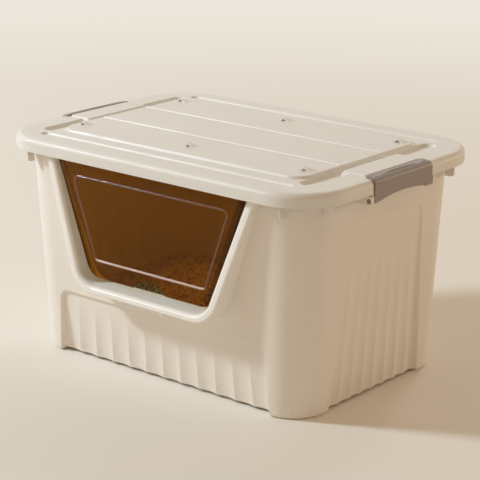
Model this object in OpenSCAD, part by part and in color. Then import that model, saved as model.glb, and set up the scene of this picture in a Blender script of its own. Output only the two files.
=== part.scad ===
// Front-entry litter box: a tapered tub with fluted panels, a hooded door frame
// with a swinging flap, a lift-off lid and two side latches.
// +Z is up, -Y is the front with the door, and X runs along the length.
// The origin is on the floor, below the middle of the box. Millimetres.

/* [Tub] */
// Length of the tub shell at its rim
tub_l = 552; // [460:2:640]
// Width of the tub shell at its rim
tub_w = 374; // [310:2:440]
// Height of the tub, floor to rim
tub_h = 333.5; // [280:0.5:380]
// Draft of the end walls over the whole height
draft_x = 17; // [8:0.5:24]
// Draft of the front and back walls over the whole height
draft_y = 15; // [8:0.5:20]
// Plan radius of the shell's corners at the rim
corner_r = 64; // [50:1:80]
// Wall of all tub mouldings
wall = 2.5; // [2:0.1:3.2]
// Height of the corner feet under the raised floor
foot_h = 4; // [3:0.5:8]
// Rounding of the bottom edge
base_r = 5; // [3:0.5:8]

/* [Rim] */
// Reach of the rim flange beyond the shell at the ends
flange_x = 13; // [10:0.5:13]
// Reach of the rim flange beyond the shell at front and back
flange_y = 10.5; // [8:0.5:11]
// Height of the down-turned lip of the flange
lip_h = 11; // [8:0.5:12]
// Thickness of the gusset plates under the flange
gusset_t = 2.4; // [1.8:0.1:3]
// From the shell's end at its rim to the front and back gussets
gusset_in_x = 36; // [26:1:56]
// From the shell's front at its rim to the end gussets
gusset_in_y = 44; // [37:1:60]

/* [Fluted panels] */
// From the shell's end to the front and back panels, at the floor
front_panel_in = 54; // [52:1:79]
// Depth of the front and back panels at the floor
front_panel_d = 8; // [6:0.5:9]
// Height of the front and back panels
front_panel_h = 101; // [80:1:110]
// Flutes on the front and on the back panel
front_flutes = 12; // [8:1:16]
// From the shell's front to the end panels, at the floor
end_panel_in = 65; // [57:1:82]
// Depth of the end panels at the floor
end_panel_d = 4; // [2:0.5:6]
// From the rim down to the end panels' upper edge
end_panel_drop = 66.5; // [54:0.5:133]
// Flutes on each end panel
end_flutes = 8; // [5:1:10]
// Depth of a flute between its two cusps
flute_depth = 3.3; // [2:0.1:4]
// Rounding of the panels' upper corners
panel_corner_r = 14; // [8:1:20]

/* [Door] */
// From the shell's end at its rim to the doorway's side, at the reference height
door_in = 98; // [89:1:119]
// From the rim down to the reference height
door_ref_drop = 33.5; // [28:0.5:54]
// Lean of the doorway's sides, width lost per height
door_lean = 0.365; // [0.2:0.005:0.5]
// Height of the doorway's sill
sill_z = 136; // [125:1:150]
// Width of the frame's front strip, measured level
strip_w = 16; // [12:0.5:20]
// Rounding of the doorway's lower corners
door_corner_r = 32; // [16:1:36]
// Reach of the frame's front face beyond the shell's rim, at the reference height
hood_out = 13; // [12:0.5:15]
// Distance of the two ribs under the sill from the middle
sill_rib_x = 39; // [20:1:70]
// Forward lean of the frame's front face per height
hood_lean = 0.08; // [0.02:0.01:0.09]

/* [Flap] */
// Thickness of the flap panel
flap_t = 2.2; // [1.6:0.1:3]
// Gap between the flap's sides and the frame
flap_gap = 4; // [2.5:0.5:5]
// Gap between the flap and the sill
flap_rise = 7; // [4:0.5:9]
// Radius of the flap's hinge barrel
barrel_r = 3; // [2.5:0.1:3.4]
// From the rim down to the flap's hinge axis
hinge_drop = 15.5; // [14.5:0.5:16.5]
// Reach of the flap's plane beyond the shell's rim
flap_out = 5.5; // [4:0.5:6]
// Half width of the finger notch
notch_half = 31.5; // [24:0.5:40]
// Height of the finger notch
notch_h = 13; // [8:0.5:16]
// Height of the embossed bead
bead_h = 1; // [0.6:0.1:1.6]

/* [Lid] */
// Reach of the lid beyond the shell's rim at the ends
lid_over_x = 24; // [24:0.5:28]
// Reach of the lid beyond the shell's rim at front and back
lid_over_y = 21; // [17:0.5:24]
// Wall of the lid
lid_wall = 2.5; // [2:0.1:3]
// Plan radius of the lid's corners beyond that of the shell's
lid_r_more = 16; // [14:1:20]
// Rounding of the lid's upper edge
lid_edge_r = 9; // [6:0.5:10]
// Depth of the lid's skirt below its rim
skirt_h = 21; // [18:0.5:23]
// Height of the raised middle above the lid's rim
panel_rise = 4; // [3:0.5:6]
// From the lid's end to its raised middle
panel_in_x = 70; // [68:1:100]
// From the lid's front to its raised middle
panel_in_y = 68; // [63:1:98]
// Depth of the gutters in front of and behind the middle
gutter_d = 3.5; // [2:0.5:5]
// Depth of the channels at both ends
channel_d = 5; // [3:0.5:7]
// Distance between the middle and each long rib
rib_y = 48; // [40:1:60]

/* [Latches] */
// Length of a latch
latch_l = 136; // [110:1:150]
// Thickness of a latch's walls
latch_t = 2.6; // [2:0.1:3.2]
// Reach of a latch's outer face beyond the lid
latch_out = 1.5; // [1:0.5:3]
// Inset of the lid's skirt behind a latch
seat_d = 10; // [8:0.5:11]
// Radius of the steel latch pins
pin_r = 2.6; // [2:0.1:3]
// From the rim down to the latch pins
pin_drop = 27.5; // [26.5:0.5:28.5]
// Thickness of the ears that hold the pins
ear_t = 5; // [4:0.5:6]

/* [Litter] */
// Depth of the litter above the floor of the box
litter_h = 66; // [30:1:90]
// Height of the heap above the litter
heap_h = 54; // [10:1:60]

/* [Hidden] */
$fn = 96;
tub_fn = 72;       // sides of a full circle in the blended shell of the tub
lid_fn = 48;       // and in that of the lid

// Clearances
run_gap = 0.05;    // pin in its bore, radial
seat_gap = 0.3;    // between pieces that move apart
snug_gap = 0.1;    // between pieces fixed to each other
eps = 0.01;
big = 2000;

// Tub, derived
base_l = tub_l - 2 * draft_x;
base_w = tub_w - 2 * draft_y;
floor_z = foot_h + wall;
flange_t = 3;
flange_z = tub_h - flange_t;
flange_half_x = tub_l / 2 + flange_x;
flange_half_y = tub_w / 2 + flange_y;
gusset_x = tub_l / 2 - gusset_in_x;
gusset_y = tub_w / 2 - gusset_in_y;
front_panel_half = base_l / 2 - front_panel_in;
end_panel_half = base_w / 2 - end_panel_in;
end_panel_h = tub_h - end_panel_drop;

// Lid, derived: its underside lies on the tub's rim
rim_z = tub_h + lid_wall;
skirt_z = rim_z - skirt_h;
panel_z = rim_z + panel_rise;
lid_l = tub_l + 2 * lid_over_x;
lid_w = tub_w + 2 * lid_over_y;
lid_r = corner_r + lid_r_more;
panel_half_x = lid_l / 2 - panel_in_x;
panel_half_y = lid_w / 2 - panel_in_y;
seat_x = lid_l / 2 - seat_d;
seat_half_y = latch_l / 2 + 2;

// Ears stand just beyond the ends of a latch
ear_y = latch_l / 2 + 2;
ear_r = 5;
latch_x = lid_l / 2 + latch_out;
pin_x = latch_x - ear_r;
pin_z = tub_h - pin_drop;
knuckle_l = 10;
knuckle_r = 4.8;
arch_h = 5.5;        // rise of the arch under a latch
lip_reach = 4.5;     // overlap of a latch's lip on the lid
lip_fall = 4.4;      // fall of the lid's seat from the lip's tip to the face
lip_t = 2;           // thickness of the lip at its tip
ridge_in = 5;        // the face to the ridge over it
ridge_drop = 1.6;    // the lip's tip down to the ridge
scoop_in = 3.3;      // the lip's tip to the finger scoop
scoop_h = 5;         // depth of the finger scoop
scoop_r = 300;       // plan radius of the scoop's wall

panel_narrow = 0.07; // a panel's loss of half width per height
flange_r = corner_r + 11;
gusset_h = 37.5;     // from the rim down to a gusset's foot

// Door, derived
door_half = tub_l / 2 - door_in;
door_ref_z = tub_h - door_ref_drop;
hood_y = tub_w / 2 + hood_out;
hinge_z = tub_h - hinge_drop;
flap_y = tub_w / 2 + flap_out;
door_top_z = hinge_z + barrel_r + 1.5;
strip_drop = 0.71;   // the strip's height below the sill against its level width
hood_half_x = door_x(tub_h) + strip_w + 1;
sill_rib_h = 6.5;    // reach of the ribs below the frame
boss_r = 5;
stub_r = 2.4;
stub_l = 9;
bead_w = 3;
bead_r = 10;
bead_low = 25;       // the flap's lower edge to the bead
bead_top = hinge_z - 25.5;
bead_inset = 23.5;

// Lid details
panel_r = 26;
gutter_off = 21;     // the raised middle to a gutter
gutter_w = 14;
gutter_half_x = panel_half_x;
channel_gap = 2;
channel_w = 24;
channel_half_y = panel_half_y + 11;
seat_reach = -3;     // channel middle to the seat that bulges into it
rib_t = 2.5;
rib_h = 1.4;
pad_h = 2.4;         // height of the pads beside the latches
nub_w = 22;
nub_h = 7;
nub_l = 18;
nub_pocket = 4;
nub_x = panel_half_x - 19;
nub_y = panel_half_y - 31;
pad_near = panel_half_x + channel_gap + channel_w / 2 + seat_reach + 2;
pad_far = seat_x - lip_reach - 2.5;

// Place of the heap
heap_x = -85;
heap_y = 10;

COLOR_SHELL = [0.88, 0.84, 0.77];
COLOR_LID = [0.91, 0.89, 0.86];
COLOR_GREY = [0.58, 0.54, 0.52];
COLOR_SMOKE = [0.42, 0.26, 0.12, 0.6];
COLOR_STEEL = [0.7, 0.7, 0.72];
COLOR_LITTER = [0.72, 0.6, 0.44];

// --- outlines ---------------------------------------------------------------

// Distance from the middle to the shell's end wall and front wall at a height
function end_x(z) = tub_l / 2 - draft_x * (1 - z / tub_h);
function side_y(z) = tub_w / 2 - draft_y * (1 - z / tub_h);

// Rounds the corner b of the path a-b-c with the radius r
function corner_arc(a, b, c, r, steps = 8) =
    let (u = (a - b) / norm(a - b),
         v = (c - b) / norm(c - b),
         half = acos(u * v) / 2,
         mid = (u + v) / norm(u + v),
         centre = b + mid * r / sin(half),
         p = b + u * r / tan(half) - centre,
         turn = sign(u[0] * v[1] - u[1] * v[0]) * (2 * half - 180))
    r <= 0 ? [b] :
    [for (i = [0 : steps])
        let (t = turn * i / steps)
        centre + [p[0] * cos(t) - p[1] * sin(t), p[0] * sin(t) + p[1] * cos(t)]];

// A closed path whose corners are rounded, one radius for each
function rounded(points, radii) =
    let (n = len(points))
    [for (i = [0 : n - 1])
        each corner_arc(points[(i + n - 1) % n], points[i], points[(i + 1) % n], radii[i])];

module rounded_rect(l, w, r) {
    square([l - 2 * r, w], center = true);
    square([l, w - 2 * r], center = true);
    for (x = [-1, 1], y = [-1, 1])
        translate([x * (l / 2 - r), y * (w / 2 - r)]) circle(r);
}

// Long hole with round ends
module slot(l, w) {
    square([l - w, w], center = true);
    for (x = [-1, 1])
        translate([x * (l - w) / 2, 0]) circle(w / 2);
}

// Rounded plate of the given size with its underside at z
module plate(l, w, r, z, h = eps) {
    translate([0, 0, z]) linear_extrude(h) rounded_rect(l, w, r);
}

// Doorway outline in the front view, grown by a level distance on its sides
function door_x(z) = door_half + door_lean * (z - door_ref_z);
function door_outline(top, bottom, grow, r) =
    rounded([[-door_x(bottom) - grow, bottom], [door_x(bottom) + grow, bottom],
             [door_x(top) + grow, top], [-door_x(top) - grow, top]],
            [r, r, 0, 0]);

// Stands an outline up in the front view and carries it back from y
module front_extrude(y, depth) {
    translate([0, y + depth, 0]) rotate([90, 0, 0]) linear_extrude(depth) children();
}

// --- fluted panels ----------------------------------------------------------

// Everything in front of a plane that stands at the distance d0 from the
// middle on the floor and at the distance d1 at the height z1
module in_front_of(d0, d1, z1) {
    reach = tub_l / 2 + 40;
    lean = (d1 - d0) / z1;
    low = -20;
    high = 1.5 * tub_h;
    translate([-reach, 0, 0]) rotate([90, 0, 90]) linear_extrude(2 * reach)
        polygon([[-d0 - lean * low, low], [-d0 - lean * high, high], [-reach, high], [-reach, low]]);
}

// Cone from the point a to the point b
module cone_between(a, b, ra, rb) {
    v = b - a;
    translate(a) rotate([0, acos(v[2] / norm(v)), atan2(v[1], v[0])])
        cylinder(h = norm(v), r1 = ra, r2 = rb);
}

// What a fluted panel takes off the front wall. The panel narrows from half to
// top_half at its height h, and its bed stands d0 and d1 from the middle there.
// The flutes follow it and fade out at fade_z. The inner skin has grow = wall.
module panel_cut(half, top_half, h, d0, d1, flutes, fade_z, grow) {
    pitch = 2 * half / flutes;
    r = (pitch * pitch / 4 + flute_depth * flute_depth) / (2 * flute_depth);
    narrow = top_half / half;
    below = -0.1;
    function bed(t) = d0 + (d1 - d0) * t;
    function size(t) = 1 - (1 - narrow) * t;
    function flute_axis(x, t) = [x * size(t), -(bed(t) + (r - flute_depth) * size(t)), h * t];
    intersection() {
        front_extrude(-tub_l / 2 - 20, tub_l / 2)
            polygon(rounded([[-half * size(below) - grow, h * below],
                             [half * size(below) + grow, h * below],
                             [top_half + grow, h + grow], [-top_half - grow, h + grow]],
                            [0, 0, panel_corner_r + grow, panel_corner_r + grow]));
        in_front_of(d0 - flute_depth - grow, bed(fade_z / h) - grow, fade_z);
        union() {
            in_front_of(d0 - grow, d1 - grow, h);
            for (i = [0 : flutes - 1])
                let (x = (i + 0.5) * pitch - half)
                cone_between(flute_axis(x, below), flute_axis(x, 1.1),
                             r * size(below) + grow, r * size(1.1) + grow);
        }
    }
}

module front_panel(grow) {
    panel_cut(front_panel_half, front_panel_half - panel_narrow * front_panel_h, front_panel_h,
              base_w / 2 - front_panel_d, side_y(front_panel_h) - front_panel_d / 2,
              front_flutes, front_panel_h - panel_corner_r, grow);
}

module end_panel(grow) {
    panel_cut(end_panel_half, end_panel_half - panel_narrow * end_panel_h, end_panel_h,
              base_l / 2 - end_panel_d, end_x(end_panel_h) - end_panel_d * 0.4,
              end_flutes, end_panel_h - 2 * panel_corner_r, grow);
}

// What all panels and the raised floor between the feet take off the tub
module tub_cuts(grow) {
    for (turn = [0, 180]) rotate(turn) front_panel(grow);
    for (turn = [90, 270]) rotate(turn) end_panel(grow);
    // the raised floor is a little wider than the panels
    translate([-front_panel_half - 1 - grow, -tub_w / 2, -1])
        cube([2 * (front_panel_half + 1 + grow), tub_w, foot_h + 1 + grow]);
    translate([-tub_l / 2, -end_panel_half - 1 - grow, -1])
        cube([tub_l, 2 * (end_panel_half + 1 + grow), foot_h + 1 + grow]);
}

// --- tub --------------------------------------------------------------------

// The tapered form of the tub, drawn in by inset, from its rounded bottom up to top
module tub_form(inset, top) {
    r = base_r - min(inset, base_r - 1);
    hull() {
        for (a = [0, 30, 60, 90])
            let (z = inset + r * (1 - cos(a)), in = inset + r * (1 - sin(a)))
            plate(2 * (end_x(z) - in), 2 * (side_y(z) - in), corner_at(z) - in, z, $fn = tub_fn);
        plate(2 * (end_x(top) - inset), 2 * (side_y(top) - inset), corner_at(top) - inset,
              top - eps, $fn = tub_fn);
    }
}
function corner_at(z) = corner_r - (draft_x + draft_y) / 5 * (1 - z / tub_h);

// Flat flange round the rim with a down-turned lip, notched behind the latches
module rim() {
    difference() {
        union() {
            difference() {
                flange_plate(0, tub_h - lip_h, lip_h);
                flange_plate(wall, tub_h - lip_h - 1, lip_h + 1 - flange_t);
            }
            // the lip runs on round the notches
            intersection() {
                flange_plate(0, tub_h - lip_h, lip_h);
                latch_notches(wall);
            }
        }
        tub_form_top(wall, tub_h - lip_h - 2, tub_h + 1);
        translate([-hood_half_x, -tub_w, tub_h - lip_h - 1])
            cube([2 * hood_half_x, tub_w / 2 + wall, lip_h + 1 - flange_t]);
        latch_notches(0);
    }
}

// Room behind the latches, for the lid's seats and the ears
module latch_notches(grow) {
    notch_x = seat_x - lid_wall - 1 - grow;
    notch_half_y = ear_y + ear_t + 1 + grow;
    for (x = [-1, 1])
        translate([x * (notch_x + 20) - 20, -notch_half_y, tub_h - lip_h - 5])
            cube([40, 2 * notch_half_y, lip_h + 10]);
}

module flange_plate(inset, z, h) {
    plate(2 * (flange_half_x - inset), 2 * (flange_half_y - inset), flange_r - inset, z, h);
}

// Straight core of the upper part of the tub, to open the flange
module tub_form_top(inset, z, top) {
    plate(2 * (end_x(z) - inset), 2 * (side_y(z) - inset), corner_at(z) - inset, z, top - z);
}

// Plates that stiffen the flange: an outline from the wall to the flange
module gussets() {
    foot = tub_h - gusset_h;
    function outline(near, far) =
        rounded([[near, foot], [far, foot], [far, flange_z + 1], [near, flange_z + 1]], [0, 5, 0, 0]);
    for (x = [-1, 1], y = [-1, 1]) {
        translate([x * gusset_x + gusset_t / 2, 0, 0]) rotate([90, 0, -90]) linear_extrude(gusset_t)
            polygon([for (p = outline(side_y(foot) - wall / 2, flange_half_y - 0.5)) [y * p[0], p[1]]]);
        translate([0, y * gusset_y + gusset_t / 2, 0]) rotate([90, 0, 0]) linear_extrude(gusset_t)
            polygon([for (p = outline(end_x(foot) - wall / 2, flange_half_x - 0.5)) [x * p[0], p[1]]]);
    }
}

// Ears beyond the ends of each latch, bored for its pins
module ears() {
    for (x = [-1, 1], y = [-1, 1])
        translate([0, y * (ear_y + ear_t / 2) + ear_t / 2, 0]) rotate([90, 0, 0])
            difference() {
                linear_extrude(ear_t) {
                    polygon([for (p = [[end_x(pin_z) - wall / 2, pin_z - ear_r],
                                       [pin_x, pin_z - ear_r], [pin_x + ear_r, pin_z],
                                       [pin_x + ear_r, skirt_z - 2],
                                       [end_x(pin_z) - wall / 2, skirt_z - 2]]) [x * p[0], p[1]]]);
                    translate([x * pin_x, pin_z]) circle(ear_r);
                }
                translate([x * pin_x, pin_z, -1]) cylinder(h = ear_t + 2, r = pin_r);
            }
}

module tub() {
    color(COLOR_SHELL) difference() {
        union() {
            difference() {
                tub_form(0, tub_h);
                tub_cuts(0);
            }
            rim();
            gussets();
            ears();
        }
        difference() {
            tub_form(wall, tub_h + 1);
            tub_cuts(wall);
        }
        // opening for the door frame
        front_extrude(-tub_w, tub_w)
            polygon(door_outline(door_top_z + wall + snug_gap, sill_z - wall - snug_gap,
                                 wall + snug_gap, door_corner_r + wall));
    }
}

// --- door frame -------------------------------------------------------------

// Distance from the middle to the frame's front face
function hood_front(z) = hood_y + hood_lean * (door_ref_z - z);

// Slice of a block between the front face, set back by inset, and the distance
// back0 on the floor or back1 at the rim
module hood_slice(inset, back0, back1) {
    difference() {
        in_front_of(back0, back1, tub_h);
        in_front_of(hood_front(0) - inset, hood_front(tub_h) - inset, tub_h);
    }
}

module door_column(top, grow, drop, r) {
    front_extrude(-tub_w, tub_w)
        polygon(door_outline(top, sill_z - drop, grow, r));
}

// Bearing for a hinge stub of the flap
module hinge_boss(grow, from, to) {
    translate([from, -flap_y, hinge_z]) rotate([0, 90, 0]) cylinder(h = to - from, r = grow);
}

// Ribs that carry the sill on the tub's wall
module sill_ribs(low) {
    front = hood_front(low);
    for (x = [-1, 1])
        translate([x * sill_rib_x - gusset_t / 2, 0, 0]) rotate([90, 0, 90]) linear_extrude(gusset_t)
            polygon([[-front, low + wall / 2], [-front, low - 0.5], [-front + 4, low - sill_rib_h],
                     [-base_w / 2, low - sill_rib_h], [-base_w / 2, low + wall / 2]]);
}

module door_frame() {
    boss_x = door_x(hinge_z);
    drop = strip_w * strip_drop;
    outer_r = door_corner_r + strip_w;
    color(COLOR_LID) difference() {
        union() {
            difference() {
                // hood with its front strip, hollow from behind
                intersection() {
                    door_column(flange_z - snug_gap, strip_w, drop, outer_r);
                    hood_slice(0, base_w / 2 + snug_gap, tub_w / 2 + snug_gap);
                }
                intersection() {
                    door_column(flange_z - snug_gap - wall, strip_w - wall, drop - wall,
                                outer_r - wall);
                    hood_slice(wall, 0, 0);
                }
            }
            intersection() {
                sill_ribs(sill_z - drop);
                hood_slice(0.5, base_w / 2 + snug_gap, tub_w / 2 + snug_gap);
            }
            // spigot that lines the doorway and passes through the tub's wall
            intersection() {
                door_column(door_top_z + wall, wall, wall, door_corner_r + wall);
                hood_slice(wall / 2, base_w / 2 - wall - 1, tub_w / 2 - wall - 1);
            }
            for (x = [-1, 1])
                scale_x(x) hinge_boss(boss_r, boss_x - 1.5, boss_x + 8);
        }
        front_extrude(-tub_w, tub_w) difference() {
            polygon(door_outline(door_top_z, sill_z, 0, door_corner_r));
            for (x = [-1, 1])
                translate([x * (boss_x + 8.5) - 10, hinge_z - boss_r]) square([20, 2 * boss_r]);
        }
        for (x = [-1, 1])
            scale_x(x) hinge_boss(stub_r + run_gap, boss_x - 3, boss_x + 6.5);
    }
}

// The piece itself, or its mirror image in X
module scale_x(x) {
    if (x > 0) children();
    else mirror([1, 0, 0]) children();
}

// --- flap -------------------------------------------------------------------

// Trapezoid that follows the doorway, between two heights
function flap_outline(bottom, top, inset, r, top_r) =
    rounded([[-door_x(bottom) + inset, bottom], [door_x(bottom) - inset, bottom],
             [door_x(top) - inset, top], [-door_x(top) + inset, top]], [r, r, top_r, top_r]);

module flap() {
    bottom = sill_z + flap_rise;
    notch_r = (notch_half * notch_half + notch_h * notch_h) / (2 * notch_h);
    barrel_half = door_x(hinge_z) - flap_gap;
    color(COLOR_SMOKE) {
        front_extrude(-flap_y - flap_t / 2, flap_t) difference() {
            polygon(flap_outline(bottom, hinge_z, flap_gap, door_corner_r - flap_gap, 0));
            translate([0, bottom + notch_h - notch_r]) circle(notch_r);
        }
        // embossed bead
        front_extrude(-flap_y - flap_t / 2 - bead_h, bead_h + eps) difference() {
            polygon(flap_outline(bottom + bead_low, bead_top, bead_inset, bead_r, bead_r));
            polygon(flap_outline(bottom + bead_low + bead_w, bead_top - bead_w, bead_inset + bead_w,
                                 bead_r - bead_w, bead_r - bead_w));
        }
        hinge_boss(barrel_r, -barrel_half, barrel_half);
        hinge_boss(stub_r, -barrel_half - stub_l, barrel_half + stub_l);
    }
}

// --- lid --------------------------------------------------------------------

// Plate with a rounded upper edge: its underside at z, its top at top
module soft_plate(l, w, r, z, top, edge) {
    hull() {
        plate(l, w, r, z, $fn = lid_fn);
        for (a = [0, 30, 60, 90])
            let (in = edge * (1 - cos(a)))
            plate(l - 2 * in, w - 2 * in, r - in, top - edge * (1 - sin(a)) - eps, $fn = lid_fn);
    }
}

// Gutters, end channels and latch seats, which both skins of the lid follow
module lid_cuts(grow) {
    gutter_y = panel_half_y + gutter_off;
    for (y = [-1, 1])
        translate([0, y * (gutter_y + gutter_w / 2), rim_z - gutter_d - grow])
            linear_extrude(big) slot(2 * (gutter_half_x + grow), gutter_w + 2 * grow);
    for (x = [-1, 1])
        translate([x * (panel_half_x + channel_gap + channel_w / 2), 0, rim_z - channel_d - grow])
            difference() {
                linear_extrude(big) rotate(90) slot(2 * (channel_half_y + grow), channel_w + 2 * grow);
                // the seat of the latch reaches into the channel
                translate([x * (seat_reach + 50 + grow) - 50, -seat_half_y + grow, -1])
                    cube([100, 2 * (seat_half_y - grow), channel_d + 1 + grow]);
            }
    for (x = [-1, 1])
        translate([x * (seat_x - grow + 50) - 50, -seat_half_y - grow, skirt_z - 1])
            cube([100, 2 * (seat_half_y + grow), big]);
}

// Bevel on the edge of each latch seat, a running gap below the latch's lip
module seat_chamfers() {
    tip = seat_x - lip_reach;
    fall = lip_fall / (latch_x - tip);
    for (x = [-1, 1])
        rotate([90, 0, 0]) translate([0, 0, -seat_half_y]) linear_extrude(2 * seat_half_y)
            polygon([for (p = [[tip, rim_z], [tip + 40, rim_z - fall * 40],
                               [tip + 40, rim_z + 5], [tip, rim_z + 5]]) [x * p[0], p[1]]]);
}

// Stacking nub that slopes back to the lid, with a pocket in its triangular front
module nub() {
    difference() {
        intersection() {
            front_extrude(0, nub_l) polygon([[-nub_w / 2, -1], [nub_w / 2, -1], [0, nub_h]]);
            translate([-nub_w, 0, 0]) rotate([90, 0, 90]) linear_extrude(2 * nub_w)
                polygon([[0, -1], [0, nub_h], [nub_l, 0], [nub_l, -1]]);
        }
        front_extrude(-1, 1 + nub_pocket)
            polygon([[-nub_w / 2 + 5, 0.4], [nub_w / 2 - 5, 0.4], [0, nub_h - 2.6]]);
    }
}

module lid() {
    color(COLOR_LID) {
        difference() {
            union() {
                soft_plate(lid_l, lid_w, lid_r, skirt_z, rim_z, lid_edge_r);
                plate(2 * panel_half_x, 2 * panel_half_y, panel_r, rim_z - 1, panel_rise + 1);
            }
            lid_cuts(0);
            seat_chamfers();
            difference() {
                union() {
                    soft_plate(lid_l - 2 * lid_wall, lid_w - 2 * lid_wall, lid_r - lid_wall,
                               skirt_z - 1, tub_h, lid_edge_r - lid_wall);
                    plate(2 * (panel_half_x - lid_wall), 2 * (panel_half_y - lid_wall),
                          panel_r - lid_wall, tub_h - 1, panel_rise + 1);
                }
                lid_cuts(lid_wall);
            }
        }
        for (y = [-1, 1])
            translate([-panel_half_x + 2, y * rib_y - rib_t / 2, panel_z - 0.5])
                cube([2 * panel_half_x - 4, rib_t, rib_h + 0.5]);
        for (x = [-1, 0, 1], y = [-1, 1])
            translate([x * nub_x, y * nub_y, panel_z]) nub();
        for (x = [-1, 1])
            translate([x * (pad_near + pad_far) / 2 - (pad_far - pad_near) / 2,
                       -seat_half_y + 6, rim_z - 0.5])
                cube([pad_far - pad_near, 2 * (seat_half_y - 6), pad_h + 0.5]);
    }
}

// --- latches ----------------------------------------------------------------

// Section of a latch: a face that stands on the pin and a lip over the lid
function latch_section() =
    let (face = latch_x,
         foot = pin_z - pin_r,
         tip = seat_x - lip_reach,
         tip_z = rim_z + 2 * seat_gap,
         top = tip_z + lip_t,
         fall = lip_fall / (face - tip),
         inner = face - latch_t)
    rounded([[inner, foot], [face, foot], [face, top - ridge_drop - 3.4],
             [face - ridge_in, top - ridge_drop], [tip, top], [tip, tip_z],
             [seat_x + 0.9, tip_z - fall * (lip_reach + 0.9)],
             [seat_x + 2.6, top - scoop_h - 2.2], [inner, top - scoop_h - 6.5]],
            [0, 0, 6, 0.6, 0, 0, 0, 0, 0]);

module latch() {
    top = rim_z + 2 * seat_gap + lip_t;
    foot = pin_z - pin_r;
    arch_half = latch_l / 2 - 12;
    arch_r = (arch_half * arch_half + arch_h * arch_h) / (2 * arch_h);
    scoop_x = seat_x - lip_reach + scoop_in;
    scoop_half = latch_l / 2 - 8;
    color(COLOR_GREY) difference() {
        union() {
            intersection() {
                translate([0, latch_l / 2, 0]) rotate([90, 0, 0]) linear_extrude(latch_l)
                    polygon(latch_section());
                rotate([90, 0, 90]) linear_extrude(big / 2) difference() {
                    polygon(rounded([[-latch_l / 2, foot], [latch_l / 2, foot],
                                     [latch_l / 2, top], [-latch_l / 2, top]], [3, 3, 6, 6]));
                    translate([0, foot + arch_h - arch_r]) circle(arch_r);
                }
            }
            for (y = [-1, 1])
                translate([pin_x, y * (latch_l / 2 - knuckle_l / 2) + knuckle_l / 2, pin_z])
                    rotate([90, 0, 0]) cylinder(h = knuckle_l, r = knuckle_r);
        }
        // finger scoop, straight along the ridge and bowed towards the lid
        intersection() {
            translate([scoop_x + scoop_r, 0, top - scoop_h])
                cylinder(h = 20, r1 = scoop_r - scoop_h, r2 = scoop_r - scoop_h + 20, $fn = 360);
            translate([scoop_x - 2, -scoop_half, top - scoop_h - 1])
                cube([latch_x - ridge_in - 0.6 - scoop_x + 2, 2 * scoop_half, 30]);
        }
        for (y = [-1, 1])
            translate([pin_x, y * (latch_l / 2 - knuckle_l / 2) + knuckle_l / 2 + 1, pin_z])
                rotate([90, 0, 0]) cylinder(h = knuckle_l + 2, r = pin_r + run_gap);
    }
}

module latch_right() latch();
module latch_left() mirror([1, 0, 0]) latch();

// Headed stub pin, pressed through an ear into the latch
module latch_pin(x, y) {
    color(COLOR_STEEL) translate([x * pin_x, y * (ear_y - knuckle_l), pin_z])
        rotate([y > 0 ? -90 : 90, 0, 0]) {
            cylinder(h = knuckle_l + ear_t, r = pin_r);
            translate([0, 0, knuckle_l + ear_t]) cylinder(h = 0.8, r = pin_r + 0.8);
        }
}
module latch_pin_left_front() latch_pin(-1, -1);
module latch_pin_left_back() latch_pin(-1, 1);
module latch_pin_right_front() latch_pin(1, -1);
module latch_pin_right_back() latch_pin(1, 1);

// --- litter -----------------------------------------------------------------

// Loose fill up to a level, with a heap, clear of the tub
module litter_bed() {
    level = floor_z + litter_h;
    base_half = 2.2 * heap_h;
    heap_r = (base_half * base_half + heap_h * heap_h) / (2 * heap_h);
    gap = wall + seat_gap;
    color(COLOR_LITTER) difference() {
        intersection() {
            tub_form(gap, tub_h);
            union() {
                translate([-tub_l / 2, -tub_w / 2, 0]) cube([tub_l, tub_w, level]);
                translate([heap_x, heap_y, level + heap_h - heap_r]) sphere(heap_r);
            }
        }
        tub_cuts(gap);
    }
}

tub();
door_frame();
flap();
lid();
latch_left();
latch_right();
latch_pin_left_front();
latch_pin_left_back();
latch_pin_right_front();
latch_pin_right_back();
litter_bed();
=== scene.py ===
"""Front-entry litter box: fluted tub, hooded door frame, smoked flap, lift-off lid,
two side latches and the litter, as smooth meshes on the bodies of the CAD frame.

Lengths in the code are millimetres, as in the CAD; a mesh is made in metres.
X runs along the box, -Y is the front with the door, Z is up from the floor."""

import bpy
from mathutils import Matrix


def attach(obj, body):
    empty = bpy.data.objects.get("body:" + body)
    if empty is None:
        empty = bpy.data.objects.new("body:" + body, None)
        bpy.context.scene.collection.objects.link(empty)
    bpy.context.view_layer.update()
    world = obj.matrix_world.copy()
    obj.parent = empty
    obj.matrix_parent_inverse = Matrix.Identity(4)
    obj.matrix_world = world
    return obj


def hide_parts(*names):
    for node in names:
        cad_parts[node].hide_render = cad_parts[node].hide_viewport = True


bl_info = {
    "name": "Front-entry litter box",
    "version": (1, 0, 0),
    "blender": (4, 5, 0),
    "location": "3D View > Sidebar > Litter Box",
    "description": "Builds the pieces of a front-entry litter box and its studio",
    "category": "Object",
}

import itertools
import math
from types import SimpleNamespace

import bmesh
import bpy
import numpy as np
from bpy.props import FloatProperty, FloatVectorProperty, IntProperty, PointerProperty
from mathutils import Matrix, Vector, noise
from mathutils.geometry import delaunay_2d_cdt

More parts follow.
